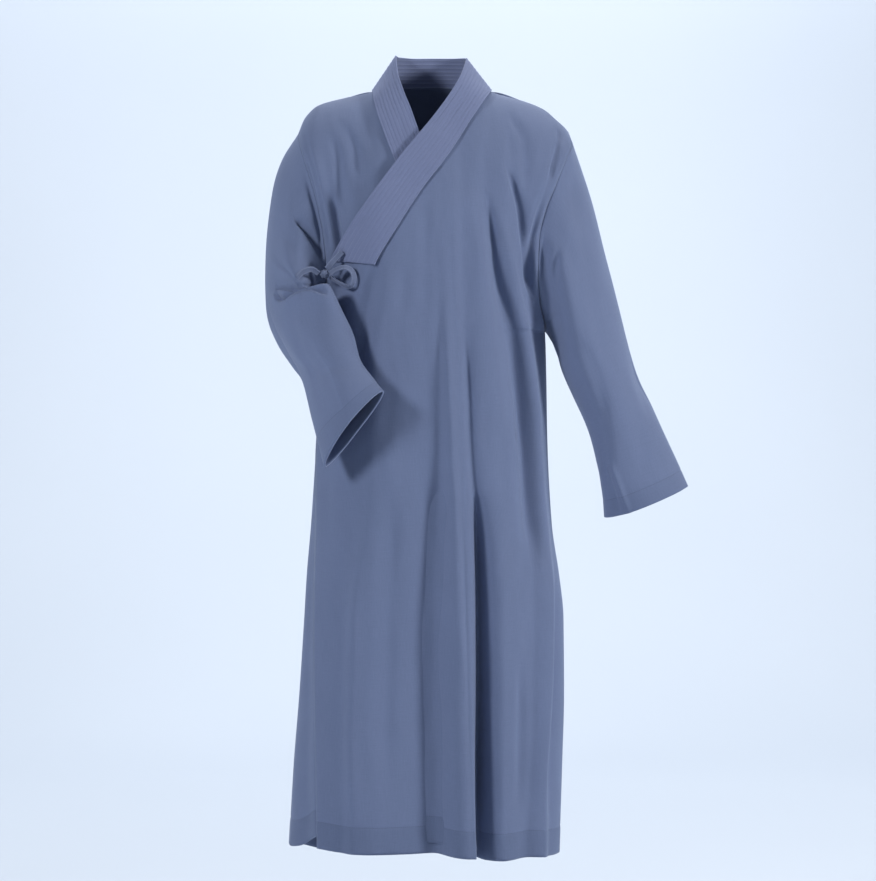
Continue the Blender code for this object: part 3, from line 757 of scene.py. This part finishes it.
LEFT_STATIONS = tuple(Station(*row) for row in (
    ((242, 0, -125), (196, -84, -262), (192, -3, -400), (200, 80, -262)),
    ((262, 0, -188), (212, -90, -300), (197, -6, -411), (222, 78, -300)),
    ((283, -4, -275), (227, -92, -350), (203, -8, -428), (244, 68, -345)),
    ((303, -8, -355), (242, -90, -408), (210, -10, -452), (264, 56, -402)),
    ((330, -14, -455), (270, -84, -486), (232, -10, -500), (290, 44, -474)),
    ((356, -22, -515), (290, -78, -548), (258, -8, -559), (318, 38, -532)),
    ((389, -31, -592), (299, -70, -632), (279, 2, -632), (345, 32, -607)),
    ((411, -38, -638), (316, -62, -680), (283, 6, -683), (350, 28, -657)),
))
RIGHT_STATIONS = tuple(Station(*row) for row in (
    ((-240, 0, -104), (-192, -86, -262), (-181, -24, -397), (-205, 82, -255)),
    ((-256, 0, -150), (-202, -98, -290), (-178, -54, -388), (-226, 82, -295)),
    ((-264, -2, -205), (-207, -108, -310), (-170, -80, -366), (-240, 75, -335)),
    ((-267, -6, -268), (-209, -114, -320), (-166, -100, -339), (-246, 58, -372)),
    ((-266, -10, -330), (-206, -118, -332), (-160, -115, -325), (-236, 28, -402)),
    ((-252, -28, -382), (-196, -132, -380), (-136, -126, -370), (-214, -20, -432)),
    ((-228, -52, -428), (-180, -150, -420), (-122, -136, -402), (-186, -62, -462)),
    ((-207, -72, -464), (-160, -168, -452), (-110, -146, -440), (-162, -98, -492)),
    ((-189, -110, -531), (-143, -186, -497), (-92, -166, -466), (-140, -130, -530)),
    ((-168, -152, -606), (-128, -197, -537), (-74, -186, -489), (-119, -159, -556)),
))
LEFT_CREASES = tuple(SleeveCrease(*row) for row in (
    (1.3, 45, 1.2, 14, -5), (2.4, 140, 1.6, 20, -6), (4.6, 250, 1.6, 26, -5), (1.6, 78, 1.3, 9, -2.6, -4),
    (3.2, 62, 1.5, 10, -2.2, 6), (3.4, 98, 1.6, 11, 2.0, 5), (5.6, 118, 1.4, 10, -2.0, -4),
    (6.2, 50, 1.2, 12, -1.8, 5), (2.6, 290, 1.5, 12, -2.4, -5), (5.0, 320, 1.4, 12, 2.0, 4),
))
RIGHT_CREASES = tuple(SleeveCrease(*row) for row in (
    (2.6, 38, 1.4, 18, -5), (4.6, 70, 0.35, 60, -9), (5.2, 60, 0.35, 55, 5), (4.0, 150, 0.5, 26, -6),
    (1.6, 62, 1.3, 9, -2.6, 5), (3.9, 58, 0.22, 40, -3.2, 20), (4.25, 40, 0.2, 34, 3.0, -20),
    (4.95, 30, 0.2, 26, -3.0, 30), (5.7, 92, 0.5, 22, -2.6, -20), (6.6, 62, 1.5, 11, -2.2, -6),
    (8.2, 84, 1.6, 11, -2.0, 4), (7.6, 40, 1.6, 12, 1.8, 4), (4.4, 250, 0.5, 30, -4, 12),
    (5.2, 285, 0.5, 30, 3, -12), (2.4, 300, 1.4, 13, -2.4, -5),
))


@dataclass
class Sleeve:
    """A sleeve from its armhole to its turned cuff."""

    name: str
    root: Array
    stations: tuple[Station, ...]
    creases: tuple[SleeveCrease, ...]
    drawn: dict[str, Crease]
    outward: int
    seed: float
    steps: int = 20
    cuff_depth: float = 30.0
    cuff_rows: Row = (3.0, 1.0, 0.0, -1.0, -3.0)
    stitch_sink: float = 0.45
    stitch_reach: float = 1.5
    unevenness: float = 0.5
    cloth: float = 1.5
    turned_cloth: float = 2.8

    def shell(self) -> Shell:
        """The sleeve as a piece of cloth, closed round itself.

        Returns:
            The sleeve's grid with its flat cut and its walls.
        """
        count = len(self.root)
        rings = np.stack([self.root] + [station.ring(count) for station in self.stations])
        last = len(rings) - 1
        end = float(np.linalg.norm(rings[-1].mean(axis=0) - rings[-2].mean(axis=0)))
        near_cuff = last - (self.cuff_depth + np.array(self.cuff_rows)) / end
        even = np.arange(last * self.steps + 1) / self.steps
        even = even[np.min(np.abs(even[:, None] - near_cuff[None]), axis=1) > 0.02]
        places = np.sort(np.concatenate((even, near_cuff)))
        grid = spline(rings, places)
        middle = grid.mean(axis=1, keepdims=True)
        out = (grid - middle) / np.linalg.norm(grid - middle, axis=-1, keepdims=True)
        turn = np.broadcast_to(np.arange(count) * 360 / count, grid.shape[:2])
        place = np.broadcast_to(places[:, None], grid.shape[:2])
        push = sum(crease.push(place, turn) for crease in self.creases)
        push *= smooth_step(place)
        drawn = sum(crease.push(grid[..., 0], grid[..., 2]) for crease in self.drawn.values())
        push += (out[..., 1] < 0) * drawn * smooth_step(4 * place)
        push *= smooth_step(last - place + 0.4)
        around = np.radians(turn)
        uneven = np.sin(3 * around + 2 * place + self.seed) + 0.7 * np.sin(5 * around - 3 * place)
        push += self.unevenness * uneven * smooth_step(place)
        above = (last - place) * end
        push -= self.stitch_sink * np.exp(-(((above - self.cuff_depth) / self.stitch_reach) ** 2))
        grid = grid + out * push[..., None]
        grid = np.concatenate((grid, grid[:, :1]), axis=1)
        round_size = np.linalg.norm(np.diff(grid, axis=1), axis=-1).sum(axis=1).mean()
        across = np.broadcast_to(np.linspace(0, round_size, count + 1), grid.shape[:2])
        above = np.broadcast_to(((last - places) * end)[:, None], grid.shape[:2])
        walls = np.where((last - places) * end < self.cuff_depth, self.turned_cloth, self.cloth)
        return Shell(self.name, grid, np.stack((across, above), axis=-1), self.outward, walls, closed=True)


@dataclass(frozen=True)
class BandRow:
    """A row of the collar band: its seam on the body, its free edge, and how far it lies on the body."""

    foot_x: float
    foot_z: float
    top_x: float
    top_y: float
    top_z: float
    lie: float


OUTER_BAND = tuple(BandRow(*row) for row in (
    (-87, -289, -158, 0, -280, 1.0), (-74, -264, -143, 0, -252, 1.0), (-58, -238, -122, 0, -219, 1.0),
    (-38, -205, -98, 0, -185, 1.0), (-12, -165, -70, 0, -145, 1.0), (16, -128, -42, 0, -107, 1.0),
    (40, -92, -16, -97, -75, 0.7), (60, -58, 10, -84, -40, 0.25), (78, -29, 32, -66, -6, 0.0),
    (90, -9, 47, -42, 24, 0.0), (95, 1, 54, -8, 50, 0.0),
))
BACK_BAND = tuple(BandRow(*row) for row in (
    (92, 1, 53, 18, 56, 0.0), (80, 2.5, 46, 36, 59, 0.0), (50, 5.5, 29, 48, 61, 0.0),
    (0, 6.5, 0, 53, 62, 0.0), (-50, 5.5, -29, 48, 61, 0.0), (-80, 2.5, -46, 36, 60, 0.0),
    (-92, 1, -54, 18, 58, 0.0),
))
INNER_BAND = tuple(BandRow(*row) for row in (
    (-95, 1, -57, -6, 55, 0.0), (-92, -15, -54, -38, 24, 0.0), (-87, -40, -45, -62, -6, 0.0),
    (-75, -78, -33, -78, -38, 0.2), (-60, -118, -20, -88, -76, 0.7), (-44, -155, -2, 0, -120, 1.0),
    (-28, -192, 15, 0, -160, 1.0), (-10, -235, 32, 0, -206, 1.0),
))


@dataclass
class Collar:
    """The long band round the neck, with its rows of topstitching."""

    torso: Torso = field(default_factory=Torso)
    cells: int = 60
    steps: int = 10
    layer_gap: float = 1.3
    back_gap: float = 0.4
    cloth: float = 2.6
    width: float = 66.0
    stitch_rows: int = 9
    first_row: float = 3.5
    row_gap: float = 7.3
    stitch_sink: float = 0.5
    stitch_reach: float = 1.3
    wave_height: float = 0.25
    wave_length: float = 9.0

    def shell(self) -> Shell:
        """The band as a piece of cloth, its inner face on the body.

        Returns:
            The band's grid with its flat cut and its walls.
        """
        rows = [(row, Face.FRONT, True) for row in OUTER_BAND]
        rows += [(row, Face.BACK, False) for row in BACK_BAND]
        rows += [(row, Face.FRONT, False) for row in INNER_BAND]
        v = np.arange(self.cells + 1) / self.cells
        lines = []
        for row, face, outer in rows:
            x = row.foot_x + (row.top_x - row.foot_x) * v
            z = row.foot_z + (row.top_z - row.foot_z) * v
            gap = self.layer_gap if face is Face.FRONT else self.back_gap
            raised = gap + (self.torso.overlap(x, z) if outer else np.zeros(x.shape))
            foot = self.torso.point(face, x[:1], z[:1], raised[:1])[0]
            free = foot + (np.array((row.top_x, row.top_y, row.top_z)) - foot) * v[:, None]
            lying = self.torso.point(face, x, z, raised)
            lines.append(lying * row.lie + free * (1 - row.lie))
        rows_of_points = np.stack(lines)
        grid = spline(rows_of_points, np.arange((len(lines) - 1) * self.steps + 1) / self.steps)
        steps = np.linalg.norm(np.diff(grid[:, len(v) // 2], axis=0), axis=-1)
        along = np.concatenate(([0.0], np.cumsum(steps)))
        along, across = np.meshgrid(along, v * self.width, indexing="ij")
        sink = np.zeros(along.shape)
        for row in range(self.stitch_rows):
            sink += np.exp(-(((across - self.first_row - row * self.row_gap) / self.stitch_reach) ** 2))
        normal = np.cross(np.gradient(grid, axis=1), np.gradient(grid, axis=0))
        normal /= np.linalg.norm(normal, axis=-1, keepdims=True)
        sunk = self.wave_height * np.sin(along / self.wave_length) - self.stitch_sink * np.clip(sink, 0, 1)
        grid = grid - normal * sunk[..., None]
        walls = np.full(len(grid), self.cloth)
        return Shell("collar_cloth", grid, np.stack((along, across), axis=-1), -1, walls)


# Points of each tie's route: x, y, height, and the lean of its width there in degrees.
TAB_ROUTE = (
    (-141, -109.6, -267, 10), (-150, -107.6, -276, 10), (-158, -108, -284, 20), (-166, -106, -293.6, 30),
)
LOOP_ROUTE = (
    (-160.4, -109.4, -303, 30), (-150, -114, -296, 40), (-136, -119, -293, 35), (-125, -120, -300, 30),
    (-123, -119, -313, 30), (-130, -116, -322, 50), (-143, -111, -317, 60), (-154, -105, -310, 60),
    (-160.2, -102, -305, 50),
)
LEAF_ROUTE = (
    (-178.3, -106, -301, 20), (-189, -113, -295, 25), (-202, -119, -299, 30), (-212, -122, -308, 30),
)


@dataclass
class TieStrip:
    """A flat sewn tie, rounded at its edges."""

    name: str
    route: tuple[Row, ...]
    width: float = 10.0
    cloth: float = 2.4
    steps: int = 8
    cells: int = 8
    crown: float = 0.7

    def shell(self) -> Shell:
        """The tie as a piece of cloth, with a slight crown across it.

        Returns:
            The tie's grid with its flat cut and its walls.
        """
        spots = np.array(self.route, float)
        path = spline(spots, np.arange((len(spots) - 1) * self.steps + 1) / self.steps)
        middles, lean = path[:, :3], np.radians(path[:, 3:])
        along = np.gradient(middles, axis=0)
        along /= np.linalg.norm(along, axis=1, keepdims=True)
        flat = np.cross(along, (0.0, 1.0, 0.0))
        flat /= np.linalg.norm(flat, axis=1, keepdims=True)
        deep = np.cross(flat, along)
        across = flat * np.cos(lean) + deep * np.sin(lean)
        face = np.cross(across, along)
        share = np.linspace(-1, 1, self.cells + 1)
        grid = middles[:, None] + across[:, None] * (share * self.width / 2)[None, :, None]
        grid = grid + face[:, None] * (self.crown * (1 - share**2))[None, :, None]
        length = np.concatenate(([0.0], np.cumsum(np.linalg.norm(np.diff(middles, axis=0), axis=1))))
        u, v = np.meshgrid(length, (share + 1) * self.width / 2, indexing="ij")
        return Shell(self.name, grid, np.stack((u, v), axis=-1), 1, np.full(len(grid), self.cloth))

    def length(self) -> float:
        """Length of the tie's route in metres."""
        middles = np.array(self.route, float)[:, :3]
        return float(np.linalg.norm(np.diff(middles, axis=0), axis=1).sum()) * MM


@dataclass
class Knot:
    """The tie's knot: a small lump with the turns of its strip wound over each other."""

    middle: Triple = (-169, -104, -302)
    radii: Triple = (8.0, 7.0, 7.5)
    wraps: float = 0.09

    def build(self, finish: "ClothFinish") -> bpy.types.Object:
        """Makes the knot.

        Args:
            finish: The cloth of the tie.

        Returns:
            The piece.
        """
        shape = bmesh.new()
        shape.loops.layers.uv.new(UV_NAME)
        bmesh.ops.create_uvsphere(shape, u_segments=56, v_segments=32, radius=1.0, calc_uvs=True)
        for vert in shape.verts:
            place = vert.co.normalized()
            upright = math.cos(9 * place.x + 2.2 * place.z)
            level = math.cos(8 * place.z - 1.5 * place.x)
            over = 0.5 + 0.5 * math.tanh(6 * (abs(place.x) - 0.45))
            vert.co = place * (1 - self.wraps + self.wraps * (upright * (1 - over) + level * over))
        bmesh.ops.scale(shape, vec=self.radii, verts=shape.verts)
        bmesh.ops.translate(shape, vec=self.middle, verts=shape.verts)
        bmesh.ops.scale(shape, vec=(MM, MM, MM), verts=shape.verts)
        piece = smooth_object(shape, "tie_knot_cloth")
        piece.data.materials.append(finish.material())
        return piece


class Signal:
    """A number that varies over a surface, as a socket of a material's nodes."""

    def __init__(self, nodes: "Nodes", socket: bpy.types.NodeSocket) -> None:
        """Wraps a socket of the given nodes."""
        self.nodes = nodes
        self.socket = socket

    def math(self, operation: str, *others: "Signal | float") -> "Signal":
        """Result of a Math node on this and other values."""
        node = self.nodes.add("ShaderNodeMath", {"operation": operation}, dict(enumerate((self, *others))))
        return Signal(self.nodes, node.outputs[0])

    def __add__(self, other: "Signal | float") -> "Signal":
        """Sum with another value."""
        return self.math("ADD", other)

    __radd__ = __add__

    def __mul__(self, other: "Signal | float") -> "Signal":
        """Product with another value."""
        return self.math("MULTIPLY", other)

    __rmul__ = __mul__

    def __sub__(self, other: "Signal | float") -> "Signal":
        """Difference from another value."""
        return self.math("SUBTRACT", other)

    def __rsub__(self, other: float) -> "Signal":
        """Another value less this one."""
        return self.math("MULTIPLY", -1.0).math("ADD", other)

    def __truediv__(self, other: "Signal | float") -> "Signal":
        """Quotient by another value."""
        return self.math("DIVIDE", other)

    def __abs__(self) -> "Signal":
        """Size of the value without its sign."""
        return self.math("ABSOLUTE")

    def clamped(self) -> "Signal":
        """The value held between 0 and 1."""
        return self.math("MAXIMUM", 0.0).math("MINIMUM", 1.0)


class Nodes:
    """The node tree of one material, to which nodes are added."""

    def __init__(self, name: str) -> None:
        """Makes an empty material with its node tree.

        Args:
            name: The material's name.
        """
        self.material = bpy.data.materials.new(name)
        self.material.use_nodes = True
        self.tree = self.material.node_tree
        self.tree.nodes.clear()

    def add(self, kind: str, settings: dict[str, object], inputs: dict[str | int, object]) -> bpy.types.Node:
        """Adds a node.

        Args:
            kind: The node's type.
            settings: The node's own options, set first.
            inputs: Values, sockets or signals for its inputs.

        Returns:
            The node.
        """
        node = self.tree.nodes.new(kind)
        for name, value in settings.items():
            setattr(node, name, value)
        for key, value in inputs.items():
            if isinstance(value, Signal):
                value = value.socket
            if isinstance(value, bpy.types.NodeSocket):
                self.tree.links.new(value, node.inputs[key])
            else:
                node.inputs[key].default_value = value
        return node

    def surface(self, inputs: dict[str | int, object]) -> None:
        """Adds the surface's shader and the output."""
        shader = self.add("ShaderNodeBsdfPrincipled", {}, inputs)
        self.add("ShaderNodeOutputMaterial", {}, {"Surface": shader.outputs[0]})

    def noise(self, vector: bpy.types.NodeSocket, scale: float, detail: float) -> Signal:
        """Noise from 0 to 1 along a vector."""
        node = self.add("ShaderNodeTexNoise", {}, {"Vector": vector, "Scale": scale, "Detail": detail})
        return Signal(self, node.outputs[0])

    def vector(self, x: "Signal | float", y: "Signal | float") -> bpy.types.NodeSocket:
        """Flat vector from two values."""
        return self.add("ShaderNodeCombineXYZ", {}, {"X": x, "Y": y, "Z": 0.0}).outputs[0]

    def blend(self, amount: Signal, low: object, high: object) -> bpy.types.NodeSocket:
        """Mix of two colours.

        Args:
            amount: How much of the second colour.
            low: First colour, or a socket.
            high: Second colour, or a socket.

        Returns:
            The mixed colour.
        """
        node = self.add("ShaderNodeMix", {"data_type": "RGBA"}, {"Factor": amount})
        for socket, colour in ((node.inputs[6], low), (node.inputs[7], high)):
            if isinstance(colour, bpy.types.NodeSocket):
                self.tree.links.new(colour, socket)
            else:
                socket.default_value = colour
        return node.outputs[2]


@dataclass(frozen=True)
class ClothFinish:
    """Plain-woven cloth with slubs, worn edges, a turned hem and rows of stitching."""

    name: str
    dark: Triple
    light: Triple
    thread: Triple
    weave: float = 0.85
    turned_depth: float = 0.0
    turned_shade: float = 0.24
    first_row: float = 42.0
    row_gap: float = 5000.0
    stitch: float = 3.1
    stitch_width: float = 0.55
    sheen: float = 0.3

    def stitches(self, u: Signal, v: Signal) -> Signal:
        """Where the threads show: rows of dashes across the cut.

        Args:
            u: Millimetres along the rows.
            v: Millimetres above the edge.

        Returns:
            One on a stitch and zero elsewhere.
        """
        rows = (v - self.first_row) / self.row_gap
        away = abs(rows - rows.math("ROUND")) * self.row_gap
        line = (1.6 - away / self.stitch_width).clamped()
        dash = (u / self.stitch).math("FRACT")
        return line * ((abs(dash - 0.5) * -8.0) + 3.4).clamped()

    def material(self) -> bpy.types.Material:
        """The finish as a material, made once.

        Returns:
            The material.
        """
        found = bpy.data.materials.get(self.name)
        if found is not None:
            return found
        nodes = Nodes(self.name)
        cut = nodes.add("ShaderNodeUVMap", {"uv_map": UV_NAME}, {})
        parts = nodes.add("ShaderNodeSeparateXYZ", {}, {0: cut.outputs[0]})
        u, v = Signal(nodes, parts.outputs[0]) * 1000.0, Signal(nodes, parts.outputs[1]) * 1000.0
        place = nodes.add("ShaderNodeTexCoord", {}, {}).outputs["Object"]
        turn = 2 * math.pi / self.weave
        warp, weft = (u * turn).math("SINE"), (v * turn).math("SINE")
        weave = warp * weft
        warp_slub = nodes.noise(nodes.vector(u * 0.9, v * 0.045), 1.0, 3.0)
        weft_slub = nodes.noise(nodes.vector(u * 0.045, v * 0.9), 1.0, 3.0)
        cloudy = nodes.noise(place, 7.0, 3.0)
        fine = nodes.noise(nodes.vector(u, v), 0.35, 4.0)
        turned = ((self.turned_depth - v) * 1.2).clamped()
        wear = (1.0 - v * 0.4).clamped() * fine
        stitch = self.stitches(u, v)
        tone = (
            0.5
            + (warp_slub - 0.5) * 0.34
            + (weft_slub - 0.5) * 0.28
            + (cloudy - 0.5) * 0.3
            + (fine - 0.5) * 0.18
            + weave * 0.04
            + wear * 0.4
            - turned * self.turned_shade
        ).clamped()
        cloth = nodes.blend(tone, (*self.dark, 1.0), (*self.light, 1.0))
        colour = nodes.blend(stitch * 0.75, cloth, (*self.thread, 1.0))
        height = (
            weave * 0.05
            + (warp_slub - 0.5) * 0.16
            + (weft_slub - 0.5) * 0.14
            + fine * 0.08
            + stitch * 0.22
        )
        bump = nodes.add("ShaderNodeBump", {}, {"Strength": 0.55, "Distance": MM, "Height": height})
        rough = 0.86 + (fine - 0.5) * 0.12 - stitch * 0.14
        nodes.surface({
            "Base Color": colour,
            "Roughness": rough,
            "Normal": bump.outputs[0],
            "Specular IOR Level": 0.22,
            "Sheen Weight": self.sheen,
            "Sheen Roughness": 0.5,
            "Sheen Tint": (0.72, 0.8, 1.0, 1.0),
        })
        return nodes.material


PANEL_FINISH = ClothFinish(
    "grey_blue_cloth", (0.092, 0.122, 0.212), (0.168, 0.212, 0.352), (0.09, 0.115, 0.2), turned_depth=42.0
)
SLEEVE_FINISH = ClothFinish(
    "grey_blue_sleeve_cloth", (0.093, 0.123, 0.213), (0.17, 0.214, 0.355), (0.09, 0.115, 0.2),
    turned_depth=30.0, turned_shade=0.08, first_row=30.0,
)
BAND_FINISH = ClothFinish(
    "band_cloth_topstitched", (0.114, 0.142, 0.248), (0.19, 0.225, 0.378), (0.215, 0.25, 0.385),
    first_row=3.5, row_gap=7.3, weave=0.8,
)
TIE_FINISH = ClothFinish(
    "tie_cloth_sewn", (0.1, 0.125, 0.21), (0.15, 0.185, 0.29), (0.18, 0.215, 0.33),
    first_row=1.2, row_gap=7.6,
)


@dataclass(frozen=True)
class Lamp:
    """A soft studio light."""

    name: str
    place: Triple
    aim: Triple
    size: float
    power: float
    colour: Triple

    def build(self) -> None:
        """Adds the light, turned towards its aim."""
        data = bpy.data.lights.new(self.name, "AREA")
        data.shape = "DISK"
        data.size = self.size
        data.energy = self.power
        data.color = self.colour
        lamp = bpy.data.objects.new(self.name, data)
        lamp.location = self.place
        lamp.rotation_euler = (Vector(self.aim) - Vector(self.place)).to_track_quat("-Z", "Y").to_euler()
        bpy.context.scene.collection.objects.link(lamp)


@dataclass
class Studio:
    """A pale seamless floor and backdrop, soft lights and the camera."""

    floor_height: float = -1.5
    front: float = -5.0
    back: float = 5.6
    bend: float = 2.4
    rise: float = 4.0
    half_width: float = 11.0
    floor_dark: Triple = (0.56, 0.62, 0.7)
    floor_light: Triple = (0.62, 0.68, 0.76)
    camera_place: Triple = (0.0097, -4.0, -0.5646)
    lens: float = 100.9
    sensor: float = 36.0
    lamps: tuple[Lamp, ...] = (
        Lamp("key_light", (3.5, -1.6, 0.9), (0.0, 0.0, -0.6), 0.9, 132.0, (1.0, 0.99, 0.98)),
        Lamp("fill_light", (-2.9, -2.6, 1.0), (0.0, 0.0, -0.6), 0.9, 96.0, (0.97, 0.98, 1.0)),
        Lamp("backdrop_light", (0.0, 2.2, 4.2), (0.0, 5.2, -0.2), 3.0, 305.0, (0.97, 0.98, 1.0)),
    )
    world_colour: Triple = (0.84, 0.9, 1.0)
    world_strength: float = 0.16

    def build(self) -> None:
        """Adds the floor, the lights, the surrounding light and the camera."""
        self.backdrop()
        for lamp in self.lamps:
            lamp.build()
        world = bpy.data.worlds.new("soft_room")
        world.use_nodes = True
        background = world.node_tree.nodes["Background"]
        background.inputs["Color"].default_value = (*self.world_colour, 1.0)
        background.inputs["Strength"].default_value = self.world_strength
        scene = bpy.context.scene
        scene.world = world
        scene.view_settings.view_transform = "Standard"
        data = bpy.data.cameras.new("camera")
        data.lens = self.lens
        data.sensor_width = self.sensor
        camera = bpy.data.objects.new("camera", data)
        camera.location = self.camera_place
        camera.rotation_euler = (math.pi / 2, 0.0, 0.0)
        scene.collection.objects.link(camera)
        scene.camera = camera

    def profile(self, share: float) -> tuple[float, float]:
        """Depth and height of the backdrop.

        Args:
            share: How far from its front edge, at 0, up to its top, at 1.

        Returns:
            The depth and the height there.
        """
        flat, arc = self.back - self.bend - self.front, self.bend * math.pi / 2
        run = share * (flat + arc + self.rise)
        if run < flat:
            return run + self.front, self.floor_height
        if run < flat + arc:
            turn = (run - flat) / self.bend
            return (
                self.back - self.bend + self.bend * math.sin(turn),
                self.floor_height + self.bend * (1 - math.cos(turn)),
            )
        return self.back, self.floor_height + self.bend + run - flat - arc

    def backdrop(self) -> None:
        """Adds the floor, which bends up into the backdrop."""
        shape = bmesh.new()
        bmesh.ops.create_grid(shape, x_segments=2, y_segments=90, size=1.0)
        for vert in shape.verts:
            depth, height = self.profile((vert.co.y + 1) / 2)
            vert.co = Vector((vert.co.x * self.half_width, depth, height))
        floor = smooth_object(shape, "floor")
        nodes = Nodes("pale_floor")
        place = nodes.add("ShaderNodeTexCoord", {}, {}).outputs["Object"]
        cloud = nodes.noise(place, 0.5, 2.0)
        colour = nodes.blend(cloud, (*self.floor_dark, 1.0), (*self.floor_light, 1.0))
        nodes.surface({"Base Color": colour, "Roughness": 0.95})
        floor.data.materials.append(nodes.material)


@dataclass(frozen=True)
class SheetCut:
    """The flat size a piece of cloth was cut to, in metres and square metres, and how it is held."""

    width: float
    length: float
    area: float
    held: str
    rests_on: tuple[str, ...]


@dataclass
class Robe:
    """The whole robe, with each piece in place of the plain solid it covers."""

    torso: Torso = field(default_factory=Torso)

    def dress(self, piece: bpy.types.Object, node: str) -> None:
        """Ties a piece to the body and hides the solid that it stands for.

        Args:
            piece: The new piece.
            node: The solid that it stands for.
        """
        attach(piece, "root")
        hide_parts(node)
        LOG.info("piece %s: %d faces", piece.name, len(piece.data.polygons))

    def shoulder(self, low: float, high: float) -> tuple[Pair, ...]:
        """Points of the shoulder ridge from x low to x high."""
        return tuple(spot for spot in SHOULDER_RIDGE if low <= spot[0] <= high)

    def panels(self) -> tuple[Panel, Panel, Panel]:
        """The body's three panels.

        Returns:
            The outer front, the inner front and the back.
        """
        front = [place for place, _ in self.torso.lines(Face.FRONT)]
        back = [place for place, _ in self.torso.lines(Face.BACK)]
        columns = [line.columns for line in FRONT_LINES]
        edge = self.torso.inner_edge
        outer = Panel(
            "front_outer_cloth", Face.FRONT,
            [Curve(tuple(zip(LEVELS, FREE_EDGE)))] + front[4:], [4] + columns[4:-1],
            Curve(OUTER_TOP + self.shoulder(96, 230)), Curve(OUTER_HEM), OUTER_CREASES, 0.7, True,
        )
        inner = Panel(
            "front_inner_cloth", Face.FRONT,
            front[:6] + [Curve(((-1300, edge), (0, edge)))], columns[:5] + [2],
            Curve(self.shoulder(-220, -97) + INNER_TOP), Curve(INNER_HEM), INNER_CREASES, 2.9,
        )
        rear = Panel(
            "back_cloth", Face.BACK, back, [line.columns for line in BACK_LINES[:-1]],
            Curve(self.shoulder(-220, -97) + BACK_NECK + self.shoulder(97, 230)), Curve(BACK_HEM),
            BACK_CREASES, 4.3,
        )
        return outer, inner, rear

    def armhole(self, front: Shell, back: Shell, column: int, rows: int) -> Array:
        """Root ring of a sleeve, down the front's side and up the back's.

        Args:
            front: The front panel.
            back: The back panel.
            column: The side column of both.
            rows: How many rows lie above the underarm.

        Returns:
            The ring.
        """
        return np.concatenate((front.grid[: rows + 1, column], back.grid[rows - 1 : 0 : -1, column]))

    def build(self) -> None:
        """Builds and dresses every piece."""
        outer, inner, rear = self.panels()
        front, under, back = outer.shell(), inner.shell(), rear.shell()
        left_root = self.armhole(front, back, -1, outer.arm_rows)
        right_root = self.armhole(under, back, 0, inner.arm_rows)
        left = Sleeve(
            "sleeve_left_cloth", left_root, LEFT_STATIONS, LEFT_CREASES, LEFT_SLEEVE_CREASES, 1, 1.1,
        )
        right = Sleeve(
            "sleeve_right_cloth", right_root, RIGHT_STATIONS, RIGHT_CREASES, RIGHT_SLEEVE_CREASES, -1, 3.7,
        )
        for shell, finish, cut in (
            (front, PANEL_FINISH, SheetCut(0.5, 1.27, 0.56, "hung", ("collar_cloth",))),
            (under, PANEL_FINISH, SheetCut(0.34, 1.26, 0.34, "hung", ("collar_cloth",))),
            (back, PANEL_FINISH, SheetCut(0.56, 1.27, 0.62, "hung", ("collar_cloth",))),
            (left.shell(), SLEEVE_FINISH, SheetCut(0.46, 0.56, 0.225, "hung", ("front_outer_cloth",))),
            (right.shell(), SLEEVE_FINISH, SheetCut(0.44, 0.5, 0.19, "hung", ("front_inner_cloth",))),
        ):
            self.dress(shell.build(finish), shell.name.removesuffix("_cloth"))
        self.dress(Collar(self.torso).shell().build(BAND_FINISH, wall_out=True), "collar")
        for node, route in (("tie_tab", TAB_ROUTE), ("tie_loop", LOOP_ROUTE), ("tie_leaf", LEAF_ROUTE)):
            strip = TieStrip(f"{node}_cloth", route)
            piece = strip.shell().build(TIE_FINISH)
            rounding = piece.modifiers.new("rounding", "SUBSURF")
            rounding.levels = rounding.render_levels = 1
            size = strip.length()
            cut = SheetCut(TIE_WIDTH, size, TIE_WIDTH * size, "folded", ("tie_knot_cloth",))
            self.dress(piece, node)
        self.dress(Knot().build(TIE_FINISH), "tie_knot")


for old in list(bpy.data.objects):
    bpy.data.objects.remove(old, do_unlink=True)
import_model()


def main() -> None:
    """Builds the robe and the studio."""
    logging.basicConfig(level=logging.INFO, format="%(name)s: %(message)s")
    Robe().build()
    Studio().build()


if __name__ == "__main__":
    main()
